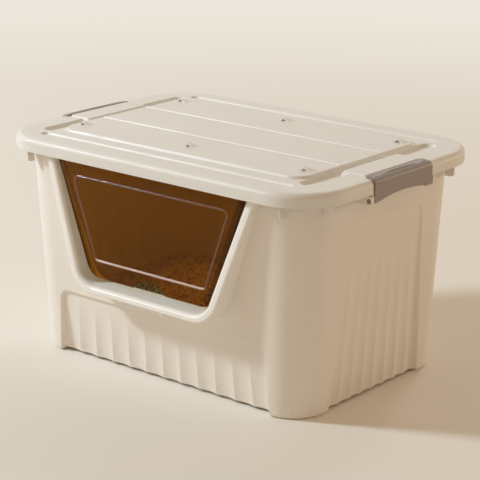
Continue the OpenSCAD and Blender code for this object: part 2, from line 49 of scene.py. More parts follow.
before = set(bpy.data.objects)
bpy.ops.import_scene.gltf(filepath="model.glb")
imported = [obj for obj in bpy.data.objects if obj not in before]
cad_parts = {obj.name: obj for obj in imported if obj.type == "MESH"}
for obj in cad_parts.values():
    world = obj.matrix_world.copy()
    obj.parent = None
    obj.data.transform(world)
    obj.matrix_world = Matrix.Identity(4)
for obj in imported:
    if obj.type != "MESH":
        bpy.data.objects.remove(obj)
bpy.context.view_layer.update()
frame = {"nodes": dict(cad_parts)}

MM = 0.001
CORNERS = tuple(itertools.product((-1, 1), repeat=2))  # signs of x and y in each quarter


# --- properties ---------------------------------------------------------------


def length(name, description, size):
    """A length property whose default is given in millimetres."""
    return FloatProperty(
        name=name, description=description, default=size * MM, min=0.0, unit="LENGTH"
    )


def linear(code):
    """Linear red, green and blue of an sRGB hex code."""
    parts = [int(code[i : i + 2], 16) / 255 for i in (1, 3, 5)]
    return tuple(p / 12.92 if p <= 0.04045 else ((p + 0.055) / 1.055) ** 2.4 for p in parts)


def colour(name, description, code):
    """A colour property whose default is an sRGB hex code."""
    looks = dict(size=3, min=0.0, max=1.0, subtype="COLOR")
    return FloatVectorProperty(name=name, description=description, default=linear(code), **looks)


class TubSizes(bpy.types.PropertyGroup):
    """Sizes of the tapered tub and its fluted panels."""

    length: length("Length", "Length of the shell at its rim", 552)
    width: length("Width", "Width of the shell at its rim", 374)
    height: length("Height", "Floor to rim", 333.5)
    end_draft: length("End draft", "Slope of the end walls over the whole height", 17)
    side_draft: length("Side draft", "Slope of the front and back over the whole height", 15)
    corner: length("Corner radius", "Plan radius of the shell's corners at the rim", 64)
    wall: length("Wall", "Wall of all tub mouldings", 2.5)
    foot: length("Foot height", "Height of the corner feet under the raised floor", 4)
    flute: length("Flute depth", "Depth of a flute between its two cusps at the floor", 3.3)


class DoorSizes(bpy.types.PropertyGroup):
    """Sizes of the doorway, its frame and the flap."""

    half_width: length("Half width", "Half width of the doorway 300 mm above the floor", 178)
    sill: length("Sill height", "Height of the doorway's sill", 136)
    strip: length("Strip width", "Width of the frame's front strip", 16)
    corner: length("Corner radius", "Rounding of the doorway's lower corners", 32)
    inner_round: length("Inner rounding", "Rounding of the strip towards the doorway", 7)
    outer_round: length("Outer rounding", "Rounding of the strip's outer edge", 3)
    flap: length("Flap thickness", "Thickness of the smoked panel", 2.2)
    bead: length("Bead height", "Height of the bead embossed on the flap", 1.0)


class LidSizes(bpy.types.PropertyGroup):
    """Sizes of the lid."""

    length: length("Length", "Length of the lid", 600)
    width: length("Width", "Width of the lid", 416)
    corner: length("Corner radius", "Plan radius of the lid's corners", 80)
    wall: length("Wall", "Wall of the lid", 2.5)
    edge: length("Edge rounding", "Rounding of the lid's upper edge", 9)
    skirt: length("Skirt", "Depth of the lid's skirt below its rim", 21)
    rise: length("Panel rise", "Height of the raised middle above the rim", 4)


class LatchSizes(bpy.types.PropertyGroup):
    """Sizes of a side latch."""

    length: length("Length", "Length of a latch", 136)
    wall: length("Wall", "Thickness of a latch's walls", 2.6)
    scoop: length("Scoop", "Depth of the finger scoop behind the ridge", 5)
    arch: length("Arch", "Rise of the arch under a latch", 5.5)


class LitterSizes(bpy.types.PropertyGroup):
    """Sizes of the litter."""

    level: length("Level", "Height of the litter above the floor", 72.5)
    heap: length("Heap", "Height of the heap above the level", 54)
    grain: length("Grain", "Mean size of the loose granules", 3.6)
    density: FloatProperty(
        name="Density", description="Loose granules for each square metre", default=26000.0
    )
    seed: IntProperty(name="Seed", description="Seed of the granules' places", default=7)


class Finishes(bpy.types.PropertyGroup):
    """Colours of the finishes."""

    tub: colour("Tub", "Cream polypropylene of the tub", "#F0E9E0")
    lid: colour("Lid", "Off-white polypropylene of the lid", "#E9E6DF")
    frame: colour("Door frame", "Cream polypropylene of the door frame", "#F8F5EF")
    flap: colour("Flap", "Tint of the smoked flap", "#EFA83A")
    latch: colour("Latch", "Warm grey of the latches", "#9A8D87")
    litter: colour("Litter", "Sandy body of the litter", "#DCC79C")
    steel: colour("Steel", "Steel of the latch pins", "#8C8880")
    floor: colour("Floor", "Studio floor", "#EFEAE1")


PROPERTY_GROUPS = {
    "box_tub": TubSizes,
    "box_door": DoorSizes,
    "box_lid": LidSizes,
    "box_latch": LatchSizes,
    "box_litter": LitterSizes,
    "box_finish": Finishes,
}


def sizes(group):
    """The scene's settings of one group, its lengths in millimetres."""
    settings = getattr(bpy.context.scene, group)
    found = {}
    for name in PROPERTY_GROUPS[group].__annotations__:
        value = getattr(settings, name)
        is_length = settings.bl_rna.properties[name].unit == "LENGTH"
        found[name] = value / MM if is_length else value
    return SimpleNamespace(**found)


# --- outlines -----------------------------------------------------------------


def rounded(path, radii, steps=8):
    """The closed path with its corners rounded, steps + 1 points to a corner."""
    path = np.array(path, float)
    points = []
    for before, corner, after, radius in zip(
        np.roll(path, 1, axis=0), path, np.roll(path, -1, axis=0), radii
    ):
        u = (before - corner) / np.hypot(*(before - corner))
        v = (after - corner) / np.hypot(*(after - corner))
        half = math.acos(float(np.clip(u @ v, -1, 1))) / 2
        radius = max(radius, 0.05)
        centre = corner + (u + v) / np.hypot(*(u + v)) * radius / math.sin(half)
        x, y = corner + u * radius / math.tan(half) - centre
        turn = math.copysign(2 * half - math.pi, v[0] * u[1] - v[1] * u[0])
        for k in range(steps + 1):
            sin, cos = math.sin(turn * k / steps), math.cos(turn * k / steps)
            points.append(centre + (x * cos - y * sin, x * sin + y * cos))
    return np.array(points)


def contour(path, radii, grow, steps=8):
    """The counter-clockwise path moved outwards by grow, then rounded to match."""
    path = np.array(path, float)
    edge = np.roll(path, -1, axis=0) - path
    normal = np.stack([edge[:, 1], -edge[:, 0]], axis=1) / np.hypot(*edge.T)[:, None]
    moved, radii_moved = [], []
    for i in range(len(path)):
        before, after = normal[i - 1], normal[i]
        moved.append(path[i] + grow * (before + after) / (1 + before @ after))
        convex = edge[i - 1][0] * edge[i][1] - edge[i - 1][1] * edge[i][0] > 0
        radii_moved.append(radii[i] + (grow if convex else -grow))
    return rounded(moved, radii_moved, steps)


def box_path(half_x, half_y, at=(0, 0)):
    """Corners of an upright rectangle, counter-clockwise."""
    signs = ((-1, -1), (1, -1), (1, 1), (-1, 1))
    return [(at[0] + x * half_x, at[1] + y * half_y) for x, y in signs]


def inside_by(points, loop):
    """How far inside the closed loop each point lies, negative outside."""
    along = np.roll(loop, -1, axis=0) - loop
    rel = points[:, None] - loop[None]
    t = np.clip((rel * along).sum(-1) / np.maximum((along * along).sum(-1), 1e-9), 0, 1)
    gap = np.linalg.norm(rel - t[..., None] * along, axis=-1).min(axis=1)
    x, y = points[:, 0:1], points[:, 1:2]
    crosses = (loop[:, 1] > y) != (np.roll(loop, -1, axis=0)[:, 1] > y)
    with np.errstate(divide="ignore", invalid="ignore"):
        at = loop[:, 0] + (y - loop[:, 1]) * along[:, 0] / along[:, 1]
    odd = (crosses & (x < at)).sum(axis=1) % 2 == 1
    return np.where(odd, gap, -gap)


def ease(t):
    """Smooth step from 0 at 0 to 1 at 1."""
    t = np.clip(t, 0, 1)
    return t * t * (3 - 2 * t)


def across(outline, axis, at):
    """The flat outline in space: at is its place along the axis it is seen along."""
    return np.insert(np.array(outline, float), "xyz".index(axis), at, axis=1)


def bend(radius, steps):
    """A quarter of a rounding: how far along and how far back each of its points lies."""
    for a in np.radians(np.linspace(0, 90, steps + 1)):
        yield radius * (1 - math.cos(a)), radius * (1 - math.sin(a))


# --- meshes -------------------------------------------------------------------


class Skin:
    """The points and faces of closed skins, in millimetres. Side -1 mirrors them in x."""

    def __init__(self, side=1):
        self.points, self.faces, self.count, self.side = [], [], 0, side

    def add(self, points):
        """Stores a row of points and returns their numbers."""
        self.points.append(np.asarray(points, float))
        self.count += len(points)
        return list(range(self.count - len(points), self.count))

    def tube(self, rows, closed=False):
        """Quads between successive rows of equal length, and back to the first if closed."""
        numbers = [self.add(row) for row in rows]
        for a, b in zip(numbers, numbers[1:] + numbers[:1] if closed else numbers[1:]):
            for i in range(len(a)):
                j = (i + 1) % len(a)
                self.faces.append((a[i], a[j], b[j], b[i]))
        return numbers

    def solid(self, rows):
        """A tube with flat caps at both ends."""
        numbers = self.tube(rows)
        self.faces += [tuple(numbers[0]), tuple(numbers[-1])]

    def prism(self, outline, axis, low, high):
        """A flat outline carried along axis "x" or "y" from low to high."""
        self.solid([across(outline, axis, at) for at in (low, high)])

    def bar(self, profile, axis, at, sides=32):
        """A turned bar: profile holds (along, radius) pairs from end to end."""
        angles = np.linspace(0, 2 * math.pi, sides, endpoint=False)
        circle = np.array([(math.cos(t), math.sin(t)) for t in angles])
        self.solid([across(circle * radius, axis, along) + at for along, radius in profile])

    def fill(self, rim, outer, loops, placed):
        """Fills the ring rim, seen as outer, with faces that hold the placed loops."""
        _, faces, numbers = plan(outer, loops)
        real = dict(zip(numbers[0], rim))
        for loop, spots in zip(numbers[1:], placed):
            real.update(zip(loop, self.add(spots)))
        self.faces += [tuple(real[i] for i in face) for face in faces]

    def build(self, name):
        """A mesh object with outward faces, in metres."""
        mesh = bpy.data.meshes.new(name)
        mesh.from_pydata((np.concatenate(self.points) * MM).tolist(), [], self.faces)
        work = bmesh.new()
        work.from_mesh(mesh)
        bmesh.ops.remove_doubles(work, verts=work.verts, dist=1e-6)
        bmesh.ops.dissolve_degenerate(work, edges=work.edges, dist=1e-7)
        bmesh.ops.recalc_face_normals(work, faces=work.faces)
        work.to_mesh(mesh)
        work.free()
        made = shown(name, mesh)
        made.scale.x = self.side
        return made


def shown(name, data):
    """A new object in the scene."""
    made = bpy.data.objects.new(name, data)
    bpy.context.scene.collection.objects.link(made)
    return made


def plan(outer, loops, lines=()):
    """Triangulates the inside of outer with the loops and lines as edges.
    Returns the points, the triangles, and for each input loop its points' numbers."""
    points, edges, spans = [], [], []
    for k, loop in enumerate([outer, *loops, *lines]):
        first, last = len(points), len(points) + len(loop) - 1
        points += [Vector(p) for p in loop]
        edges += [(i, i + 1) for i in range(first, last)]
        if k <= len(loops):
            edges.append((last, first))
        spans.append(range(first, last + 1))
    made = delaunay_2d_cdt(points, edges, [], 1, 1e-5)
    became = {source: number for number, sources in enumerate(made[3]) for source in sources}
    numbers = [[became[i] for i in span] for span in spans]
    return np.array([tuple(v) for v in made[0]]), made[2], numbers


def settle(piece):
    """Turns a piece's modifiers into plain mesh."""
    evaluated = piece.evaluated_get(bpy.context.evaluated_depsgraph_get())
    mesh = bpy.data.meshes.new_from_object(evaluated)
    piece.modifiers.clear()
    piece.data = mesh


def combine(piece, skin, operation):
    """Adds the skin's solids to the piece, or cuts them out of it."""
    tool = skin.build("tool")
    step = piece.modifiers.new("combine", "BOOLEAN")
    step.operation, step.object, step.solver = operation, tool, "EXACT"
    settle(piece)
    bpy.data.objects.remove(tool)


def polish(piece, crease, cusps):
    """Smooth shading between creases, flat areas kept flat. Upright edges between two
    faces larger than cusps, in square metres, stay sharp from 8 degrees on."""
    piece.data.shade_smooth()
    piece.data.set_sharp_from_angle(angle=math.radians(crease))
    if cusps:
        work = bmesh.new()
        work.from_mesh(piece.data)
        for edge in work.edges:
            along = edge.verts[0].co - edge.verts[1].co
            if len(edge.link_faces) == 2 and abs(along.z) > 0.9 * along.length:
                large = min(face.calc_area() for face in edge.link_faces) > cusps
                if large and edge.calc_face_angle() > math.radians(8):
                    edge.smooth = False
        work.to_mesh(piece.data)
        work.free()
    weigh = piece.modifiers.new("normals", "WEIGHTED_NORMAL")
    weigh.keep_sharp, weigh.weight = True, 100
    settle(piece)


def mould(name, skin, added=(), cut=(), crease=38, cusps=None):
    """A shaded piece: its skin, then the skins added to it, then those cut out of it."""
    piece = skin.build(name)
    for operation, tools in (("UNION", added), ("DIFFERENCE", cut)):
        for tool in tools:
            combine(piece, tool, operation)
    polish(piece, crease, cusps)
    return piece


def clad(piece, material, body, slot, *nodes):
    """Gives a piece its material, its body and the nodes it replaces; the slot is not used."""
    piece.data.materials.clear()
    piece.data.materials.append(material)
    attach(piece, body)
    if nodes:
        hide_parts(*nodes)


# --- the tub's form -----------------------------------------------------------

FLANGE_END, FLANGE_SIDE = 13, 10.5  # reach of the rim flange beyond the shell
LIP = 11  # height of the flange's down-turned lip
FLANGE = 3  # thickness of the flange
SEAT_END_X = 290  # end face of the lid behind a latch
SEAT_HALF = 70  # half width of that seat
EAR_HALF = 75  # outer face of the ears that hold a latch's pins
EAR = 5  # thickness of an ear, and its rounding about the pin
PIN_X, PIN_Z, PIN_R = 296.5, 306, 2.6
GUSSET_X, GUSSET_Y = 240, 143  # gussets' distances from the middle
RIB_HALF = 1.2  # half thickness of a gusset or rib, and how deep one is let in
HINGE_Z, FLAP_Y = 318, 192.5  # the flap's hinge axis
DOOR_TOP = HINGE_Z + 4.5  # the doorway's upper edge
DOOR_LEAN = 0.365  # the doorway's half width gained for each height
SILL_SHARE = 0.71  # the strip's height below the sill against its width at the sides
FLAP_GAP = 4  # the flap's gap to the doorway's sides

# Fluted panels: half width, depth at the floor and at the top, height, where the
# flutes fade out, flutes in a half panel
FRONT_PANEL = dict(half=205, low=8, high=4, top=101, fade=92, flutes=6)
END_PANEL = dict(half=107, low=4, high=1.6, top=267, fade=245, flutes=4)
PANEL_NARROW = 0.07  # a panel's loss of half width for each height
PANEL_ROUND = 14  # rounding of its upper corners
SIDE_FROM, SIDE_TO = -0.7, 1.9  # the recess's side wall, from its edge inwards
RAISED_FROM = -1.3  # the raised floor's edge, from a panel's edge inwards

# Columns next to a panel's edge and rows next to its top, by distance inwards
NEAR_EDGE = (-5.2, -4.2, -3.4, -2.7, -2.1, -1.6, -1.1, -0.7, -0.3)
NEAR_EDGE += (0.2, 0.6, 1.0, 1.4, 1.9, 2.6, 3.6, 4.8)
NEAR_CORNER = (6.0, 7.4, 9.0, 10.6, 12.4, 14.2)
PLAIN_ROWS = (12, 24, 38, 52, 66, 76, 82, 112, 130, 155, 180, 205, 228, 242, 275, 290, 305, 318)


def door_half(z):
    """Half width of the doorway at a height."""
    return sizes("box_door").half_width + DOOR_LEAN * (z - 300)


def door_shape(grow, low, top):
    """The doorway's corners between two heights, its slanted sides moved out by grow."""
    corners = ((-1, low), (1, low), (1, top), (-1, top))
    return [(side * (door_half(z) + grow), z) for side, z in corners]


def panel_columns(panel):
    """Distances inwards from a panel's edge, from its middle outwards."""
    pitch = panel["half"] / panel["flutes"]
    whole = [panel["half"] - pitch * k / 6 for k in range(6 * (panel["flutes"] - 1))]
    last = [pitch * (1 - k / 6) for k in range(4)]
    last = [inwards for inwards in last if inwards > NEAR_CORNER[-1] + 2]
    return whole + last + sorted(NEAR_EDGE + NEAR_CORNER, reverse=True)


def panel_half(panel, z):
    """Half width of a panel at a height."""
    return panel["half"] - PANEL_NARROW * min(max(z, 0), panel["top"])


class TubForm:
    """The tapered, fluted wall as columns that follow the panels' taper."""

    def __init__(self, tub):
        self.tub = tub
        # each column of the front right quarter: its panel and distance inwards from the
        # panel's edge, or no panel and its share of the way round the corner
        self.columns = [(FRONT_PANEL, e) for e in panel_columns(FRONT_PANEL)]
        self.columns += [(None, share) for share in np.linspace(0, 1, 26)[1:-1]]
        self.columns += [(END_PANEL, e) for e in panel_columns(END_PANEL)[::-1]]
        self.raised = np.array([bool(panel) and e > RAISED_FROM for panel, e in self.columns])

    def end_x(self, z):
        return self.tub.length / 2 - self.tub.end_draft * (1 - z / self.tub.height)

    def side_y(self, z):
        return self.tub.width / 2 - self.tub.side_draft * (1 - z / self.tub.height)

    def corner_r(self, z):
        lost = (self.tub.end_draft + self.tub.side_draft) / 5
        return self.tub.corner - lost * (1 - z / self.tub.height)

    def recess(self, panel, inwards, z, grow):
        """Depth of a panel's recess at a distance inwards from its edge."""
        half = panel_half(panel, z)
        pitch = panel["half"] / panel["flutes"]
        e, t = inwards + grow, panel["top"] + grow - z
        r = PANEL_ROUND + grow
        corner = r - math.hypot(r - e, r - t) if e < r and t < r else min(e, t)
        wall = float(ease((corner - SIDE_FROM) / (SIDE_TO - SIDE_FROM)))
        bed = panel["low"] + (panel["high"] - panel["low"]) * min(z / panel["top"], 1)
        along = (half - inwards) / (half / panel["half"]) / pitch % 1 if inwards > 0 else 0
        fade = max(0, 1 - z / panel["fade"])
        return wall * (bed + self.tub.flute * fade * 4 * along * (1 - along))

    def quarter(self, heights, insets, grow):
        """Points and outward normals of the front right quarter, one for each column."""
        points = []
        for (panel, e), z, inset in zip(self.columns, heights, insets):
            end, side, r = self.end_x(z), self.side_y(z), self.corner_r(z)
            flat_x, flat_y = end - r, side - r
            whole = flat_x + r * math.pi / 2 + flat_y
            depth = 0
            if panel:
                half = panel_half(panel, z)
                e = e * (half / panel["half"] if e > 0 else 1)
                s = half - e if panel is FRONT_PANEL else whole - half + e
                depth = self.recess(panel, e, z, grow)
            else:
                first = panel_half(FRONT_PANEL, z) - NEAR_EDGE[0]
                last = whole - panel_half(END_PANEL, z) + NEAR_EDGE[0]
                s = first + (last - first) * e
            if s <= flat_x:
                base, normal = (s, -side), (0, -1)
            elif s < flat_x + r * math.pi / 2:
                a = (s - flat_x) / r
                normal = (math.sin(a), -math.cos(a))
                base = (flat_x + r * normal[0], -flat_y + r * normal[1])
            else:
                base, normal = (end, -(whole - s)), (1, 0)
            back = depth + inset
            points.append((base[0] - normal[0] * back, base[1] - normal[1] * back, z, *normal))
        return np.array(points)

    def row(self, z, inset=0.0, grow=0.0):
        """A closed row: heights and insets are one number or one for each column."""
        n = len(self.raised)
        q = self.quarter(np.broadcast_to(z, n), np.broadcast_to(inset, n), grow)
        on, back = q[:-1], q[:0:-1]
        parts = ((1, 1, on), (1, -1, back), (-1, -1, on), (-1, 1, back))
        return np.concatenate([part * (sx, sy, 1, sx, sy) for sx, sy, part in parts])

    def heights(self, low):
        """Heights of the rows from just above the bottom edge to the rim."""
        near = [p["top"] - e for p in (FRONT_PANEL, END_PANEL) for e in NEAR_EDGE + NEAR_CORNER]
        return sorted([low, *PLAIN_ROWS, *near])


def tub_rows(tub, form):
    """The tub's skin as closed rows: up the outside, round the rim, down the inside."""
    foot = np.where(form.raised, tub.foot, 0.0)
    rounding = np.where(form.raised, 1.2, 5.0)
    rows = []
    for a in np.radians([0, 22, 45, 67, 90]):
        rows.append(form.row(foot + rounding * (1 - math.cos(a)), rounding * (1 - math.sin(a))))
    rows += [form.row(z) for z in form.heights(8)]

    top = tub.height
    under = top - FLANGE
    wall = form.row(under)
    normal = wall[:, 3:5]
    reach = FLANGE_END * normal[:, 0] ** 2 + FLANGE_SIDE * normal[:, 1] ** 2
    flange = wall[:, :2] + normal * (reach + 0.1)[:, None]
    notch = np.where(np.abs(flange[:, 1]) < EAR_HALF + 1, SEAT_END_X - 3.5, 400)
    hood = (np.abs(flange[:, 0]) < door_half(top) + 17) & (flange[:, 1] < 0)
    lip = np.where(hood, under - 0.4, top - LIP)

    def rim_row(back, z):
        """A row round the flange, cut back where the latches stand."""
        x, y = (flange - normal * back).T
        z = np.broadcast_to(z, len(x))
        return np.stack([np.clip(x, back - notch, notch - back), y, z], axis=1)

    rows += [wall, rim_row(tub.wall, under), rim_row(tub.wall, lip), rim_row(0.6, lip)]
    rows += [rim_row(0, np.minimum(lip + 0.6, under)), rim_row(0, top - 1)]
    rows += [rim_row(0.3, top - 0.3), rim_row(1, top)]
    rows += [form.row(top, tub.wall - 0.8, tub.wall), form.row(top - 0.8, tub.wall, tub.wall)]
    rows += [form.row(z, tub.wall, tub.wall) for z in form.heights(14)[::-1]]
    floor = foot + tub.wall
    for a in np.radians([90, 60, 30, 0]):
        inset = tub.wall + 4 * (1 - math.sin(a))
        rows.append(form.row(floor + 4 * (1 - math.cos(a)), inset, tub.wall))
    return [row[:, :3] for row in rows]


def tub_floor(skin, row, raised, low, high, shift):
    """Closes a bottom row with a raised cross between four foot pads."""
    n, columns = len(raised), len(row)
    first = int(np.argmin(raised))  # first foot column of the front right quarter
    last = n - 1 - int(np.argmin(raised[::-1]))
    full = 2 * (n - 1)
    spans = [(first, last), (full - last, full - first), (full + first, full + last)]
    spans.append((2 * full - last, 2 * full - first))
    x, y = FRONT_PANEL["half"] + 1 + shift, END_PANEL["half"] + 1 + shift
    cross = []
    done = 0
    for (a, b), (sx, sy) in zip(spans, ((1, -1), (1, 1), (-1, 1), (-1, -1))):
        pad, edge = skin.add([(sx * (x + 0.3), sy * (y + 0.3), low), (sx * x, sy * y, high)])
        skin.faces.append((*row[a : b + 1], pad))
        skin.faces.append((row[a], pad, edge, row[a - 1]))
        skin.faces.append((pad, row[b], row[(b + 1) % columns], edge))
        cross += [*row[done:a], edge]
        done = b + 1
    skin.faces.append((*cross, *row[done:columns]))


def tub_brackets(tub, form):
    """Gussets under the rim and the ears for the latch pins."""
    skin = Skin()
    under = tub.height - FLANGE
    foot = tub.height - 37.5
    for sx, sy in CORNERS:
        for wall, lip, side, axis, at in (
            (form.side_y(foot), tub.width / 2 + FLANGE_SIDE, sy, "x", sx * GUSSET_X),
            (form.end_x(foot), tub.length / 2 + FLANGE_END, sx, "y", sy * GUSSET_Y),
        ):
            near, far = wall - RIB_HALF, lip - 0.5
            path = [(near, foot), (far, foot), (far, under + 1), (near, under + 1)]
            path = rounded(path, [0.4, 5, 0.1, 0.1], 5) * (side, 1)
            skin.prism(path, axis, at - RIB_HALF, at + RIB_HALF)
        wall = form.end_x(PIN_Z) - RIB_HALF
        ear = [(wall, PIN_Z - EAR), (PIN_X, PIN_Z - EAR)]
        for t in np.linspace(-1.5, 0, 8):
            ear.append((PIN_X + EAR * math.cos(t), PIN_Z + EAR * math.sin(t)))
        ear += [(PIN_X + EAR, 313), (wall, 313)]
        low = min(sy * (EAR_HALF - EAR), sy * EAR_HALF)
        skin.prism(np.array(ear) * (sx, 1), "y", low, low + EAR)
    return skin


def doorway(grow):
    """The block that opens the tub's front wall for the door frame's spigot."""
    door = sizes("box_door")
    corner = door.corner + grow
    skin = Skin()
    path = door_shape(grow, door.sill - grow, DOOR_TOP + grow)
    skin.prism(rounded(path, [corner, corner, 0.2, 0.2], 10), "y", -260, 0)
    return skin


def pin_bores():
    """Bars that bore the ears for the latch pins."""
    skin = Skin()
    for sx, sy in CORNERS:
        place = (sx * PIN_X, sy * (EAR_HALF - EAR / 2), PIN_Z)
        skin.bar([(-4, PIN_R), (4, PIN_R)], "y", place, 24)
    return skin


# --- materials ----------------------------------------------------------------

BACKDROP = "#ECE6DB"


def add(tree, kind, inputs=None, **settings):
    """Adds a node, sets its properties and sets or links its inputs. A kind without
    "Node" in it is a shader's, and a node given as an input stands for its first output."""
    made = tree.nodes.new(kind if "Node" in kind else "ShaderNode" + kind)
    for name, value in settings.items():
        setattr(made, name, value)
    for name, value in (inputs or {}).items():
        if isinstance(value, bpy.types.Node):
            value = next(socket for socket in value.outputs if socket.enabled)
        if isinstance(value, bpy.types.NodeSocket):
            tree.links.new(value, made.inputs[name])
        else:
            made.inputs[name].default_value = value
    return made


def tone(rgb, factor=1.0):
    """An opaque colour, from linear values or a hex code, made lighter or darker."""
    rgb = linear(rgb) if isinstance(rgb, str) else rgb
    return (*[min(1.0, c * factor) for c in rgb], 1.0)


def paint(ramp, tones):
    """Gives a colour ramp its stops, as (place, tone) pairs."""
    while len(ramp.elements) < len(tones):
        ramp.elements.new(1.0)
    for stop, (at, shade) in zip(ramp.elements, tones):
        stop.position, stop.color = at, shade


def moulded_plastic(tree, place, rgb, rough, grain=0.03, waves=0.0, gloss=0.5, dust=0.0):
    """Injection-moulded polypropylene or ABS: an even body colour with faint flow clouds,
    a satin skin that is a little uneven in gloss, and a very fine spark-eroded grain."""
    clouds = add(tree, "TexNoise", {"Vector": place, "Scale": 9.0, "Detail": 3.0})
    ends = {6: tone(rgb, 0.965), 7: tone(rgb, 1.03)}
    body = add(tree, "Mix", {"Factor": clouds, **ends}, data_type="RGBA")
    if dust:
        # scuffs and dust near the floor, thinning out over the lowest 45 mm
        height = add(tree, "SeparateXYZ", {"Vector": place}).outputs["Z"]
        fall = {"From Min": 0.0, "From Max": 0.045, "To Min": dust, "To Max": 0.0}
        low = add(tree, "MapRange", {"Value": height, **fall})
        specks = add(tree, "TexNoise", {"Vector": place, "Scale": 160.0, "Detail": 5.0})
        patches = add(tree, "MapRange", {"Value": specks, "From Min": 0.42, "From Max": 0.68})
        amount = add(tree, "Math", {0: low, 1: patches}, operation="MULTIPLY")
        body = add(tree, "Mix", {"Factor": amount, 6: body, 7: tone("#A89880")}, data_type="RGBA")
    sheen = add(tree, "TexNoise", {"Vector": place, "Scale": 28.0, "Detail": 2.0})
    span = {"From Min": 0.3, "From Max": 0.7, "To Min": rough - 0.04, "To Max": rough + 0.05}
    rougher = add(tree, "MapRange", {"Value": sheen, **span})
    # the real grain is about 0.1 mm; 0.8 mm is the finest that shows
    fine = add(tree, "TexNoise", {"Vector": place, "Scale": 1250.0, "Detail": 2.0})
    skin = add(tree, "Bump", {"Height": fine, "Distance": 0.0001, "Strength": grain})
    if waves:
        # cooling leaves wide, shallow waves that bend the reflections
        sag = add(tree, "TexNoise", {"Vector": place, "Scale": 11.0, "Detail": 1.0})
        bend = {"Height": sag, "Distance": waves * MM, "Strength": 1.0}
        skin = add(tree, "Bump", {**bend, "Normal": skin})
    look = {"Base Color": body, "Roughness": rougher, "Normal": skin}
    return add(tree, "BsdfPrincipled", {**look, "IOR": 1.49, "Specular IOR Level": gloss})


def smoked_plastic(tree, place, rgb, veil, milky, rough, ior):
    """Injection-moulded smoked polystyrene: clear brown with a milky share that scatters the
    veil colour, darkened towards the flap's slanted sides as painted shade of the dark
    gap and shaded jambs beside them. Lamps shine through it as through real thin
    glazing, tinted on the way."""
    haze = add(tree, "TexNoise", {"Vector": place, "Scale": 14.0, "Detail": 2.0})
    span = {"To Min": rough - 0.02, "To Max": rough + 0.02}
    rougher = add(tree, "MapRange", {"Value": haze, **span})
    sag = add(tree, "Bump", {"Height": haze, "Distance": 0.0004, "Strength": 1.0})
    # distance from the nearest slanted side, out of 20 mm, over which the colour is darkened as
    # painted shade
    at = add(tree, "SeparateXYZ", {"Vector": place}).outputs
    middle = add(tree, "Math", {0: at["X"]}, operation="ABSOLUTE")
    lean = {0: at["Z"], 1: DOOR_LEAN, 2: (door_half(0) - FLAP_GAP) * MM}
    half = add(tree, "Math", lean, operation="MULTIPLY_ADD")
    inwards = add(tree, "Math", {0: half, 1: middle}, operation="SUBTRACT")
    share = add(tree, "Math", {0: inwards, 1: 50.0}, operation="MULTIPLY")
    ramp = add(tree, "ValToRGB", {"Fac": share})
    # painted shade along the slanted sides: the share of the colour left at each distance
    painted_edge_shade = ((0.1, 0.06), (0.16, 0.42), (0.5, 0.5), (0.75, 1.0))
    paint(ramp.color_ramp, [(stop, tone(rgb, depth)) for stop, depth in painted_edge_shade])
    look = {"Base Color": ramp, "Roughness": rougher, "Normal": sag, "IOR": ior}
    glass = add(tree, "BsdfPrincipled", {**look, "Transmission Weight": 1.0})
    scattered = add(tree, "BsdfDiffuse", {"Color": tone(veil), "Normal": sag})
    glass = add(tree, "MixShader", {0: milky, 1: glass, 2: scattered})
    clear = add(tree, "BsdfTransparent", {"Color": tone([c**0.05 for c in rgb])})
    path = add(tree, "LightPath").outputs
    for ray in ("Is Shadow Ray", "Is Diffuse Ray"):
        glass = add(tree, "MixShader", {0: path[ray], 1: glass, 2: clear})
    return glass


def drawn_steel(tree, place, rgb):
    """Cold-drawn steel: grey metal with fine marks along its length."""
    stretch = add(tree, "Mapping", {"Vector": place, "Scale": (900.0, 60.0, 900.0)})
    marks = add(tree, "TexNoise", {"Vector": stretch, "Scale": 1.0, "Detail": 3.0})
    rough = add(tree, "MapRange", {"Value": marks, "To Min": 0.28, "To Max": 0.5})
    bump = add(tree, "Bump", {"Height": marks, "Distance": 0.00005, "Strength": 0.5})
    look = {"Base Color": tone(rgb), "Metallic": 1.0, "Roughness": rough, "Normal": bump}
    return add(tree, "BsdfPrincipled", look)


def loose_litter(tree, place, rgb):
    """Crushed mineral and plant litter: matt grains of 3 mm, sandy with pale, dark and
    greenish ones among them."""
    grains = add(tree, "TexVoronoi", {"Vector": place, "Scale": 330.0, "Randomness": 1.0})
    pick = add(tree, "SeparateColor", {"Color": grains.outputs["Color"]})
    ramp = add(tree, "ValToRGB", {"Fac": pick})
    ramp.color_ramp.interpolation = "CONSTANT"
    kinds = [(0.0, "#4E4733"), (0.08, "#A08A5E"), (0.2, rgb)]
    kinds += [(0.55, "#E6D3A8"), (0.78, "#F2E8CF"), (0.94, "#8E8E62")]
    paint(ramp.color_ramp, [(stop, tone(grain)) for stop, grain in kinds])
    chip = {"Height": grains, "Distance": 0.0015, "Strength": 1.0}
    bump = add(tree, "Bump", chip, invert=True)
    look = {"Base Color": ramp, "Roughness": 0.92, "Normal": bump, "Specular IOR Level": 0.2}
    return add(tree, "BsdfPrincipled", look)


def painted_board(tree, place, rgb):
    """Matt painted board, pale and even, that the camera sees fade into its backdrop."""
    clouds = add(tree, "TexNoise", {"Vector": place, "Scale": 1.2, "Detail": 2.0})
    ends = {6: tone(rgb, 0.98), 7: tone(rgb, 1.02)}
    tint = add(tree, "Mix", {"Factor": clouds, **ends}, data_type="RGBA")
    board = add(tree, "BsdfPrincipled", {"Base Color": tint, "Roughness": 0.75})
    away = add(tree, "VectorMath", {0: place}, operation="LENGTH")
    reach = {"Value": away, "From Min": 0.6, "From Max": 3.2}
    far = add(tree, "MapRange", reach, interpolation_type="SMOOTHSTEP")
    seen = add(tree, "LightPath").outputs["Is Camera Ray"]
    share = add(tree, "Math", {0: far, 1: seen}, operation="MULTIPLY")
    paper = add(tree, "Emission", {"Color": tone(BACKDROP)})
    return add(tree, "MixShader", {0: share, 1: board, 2: paper})


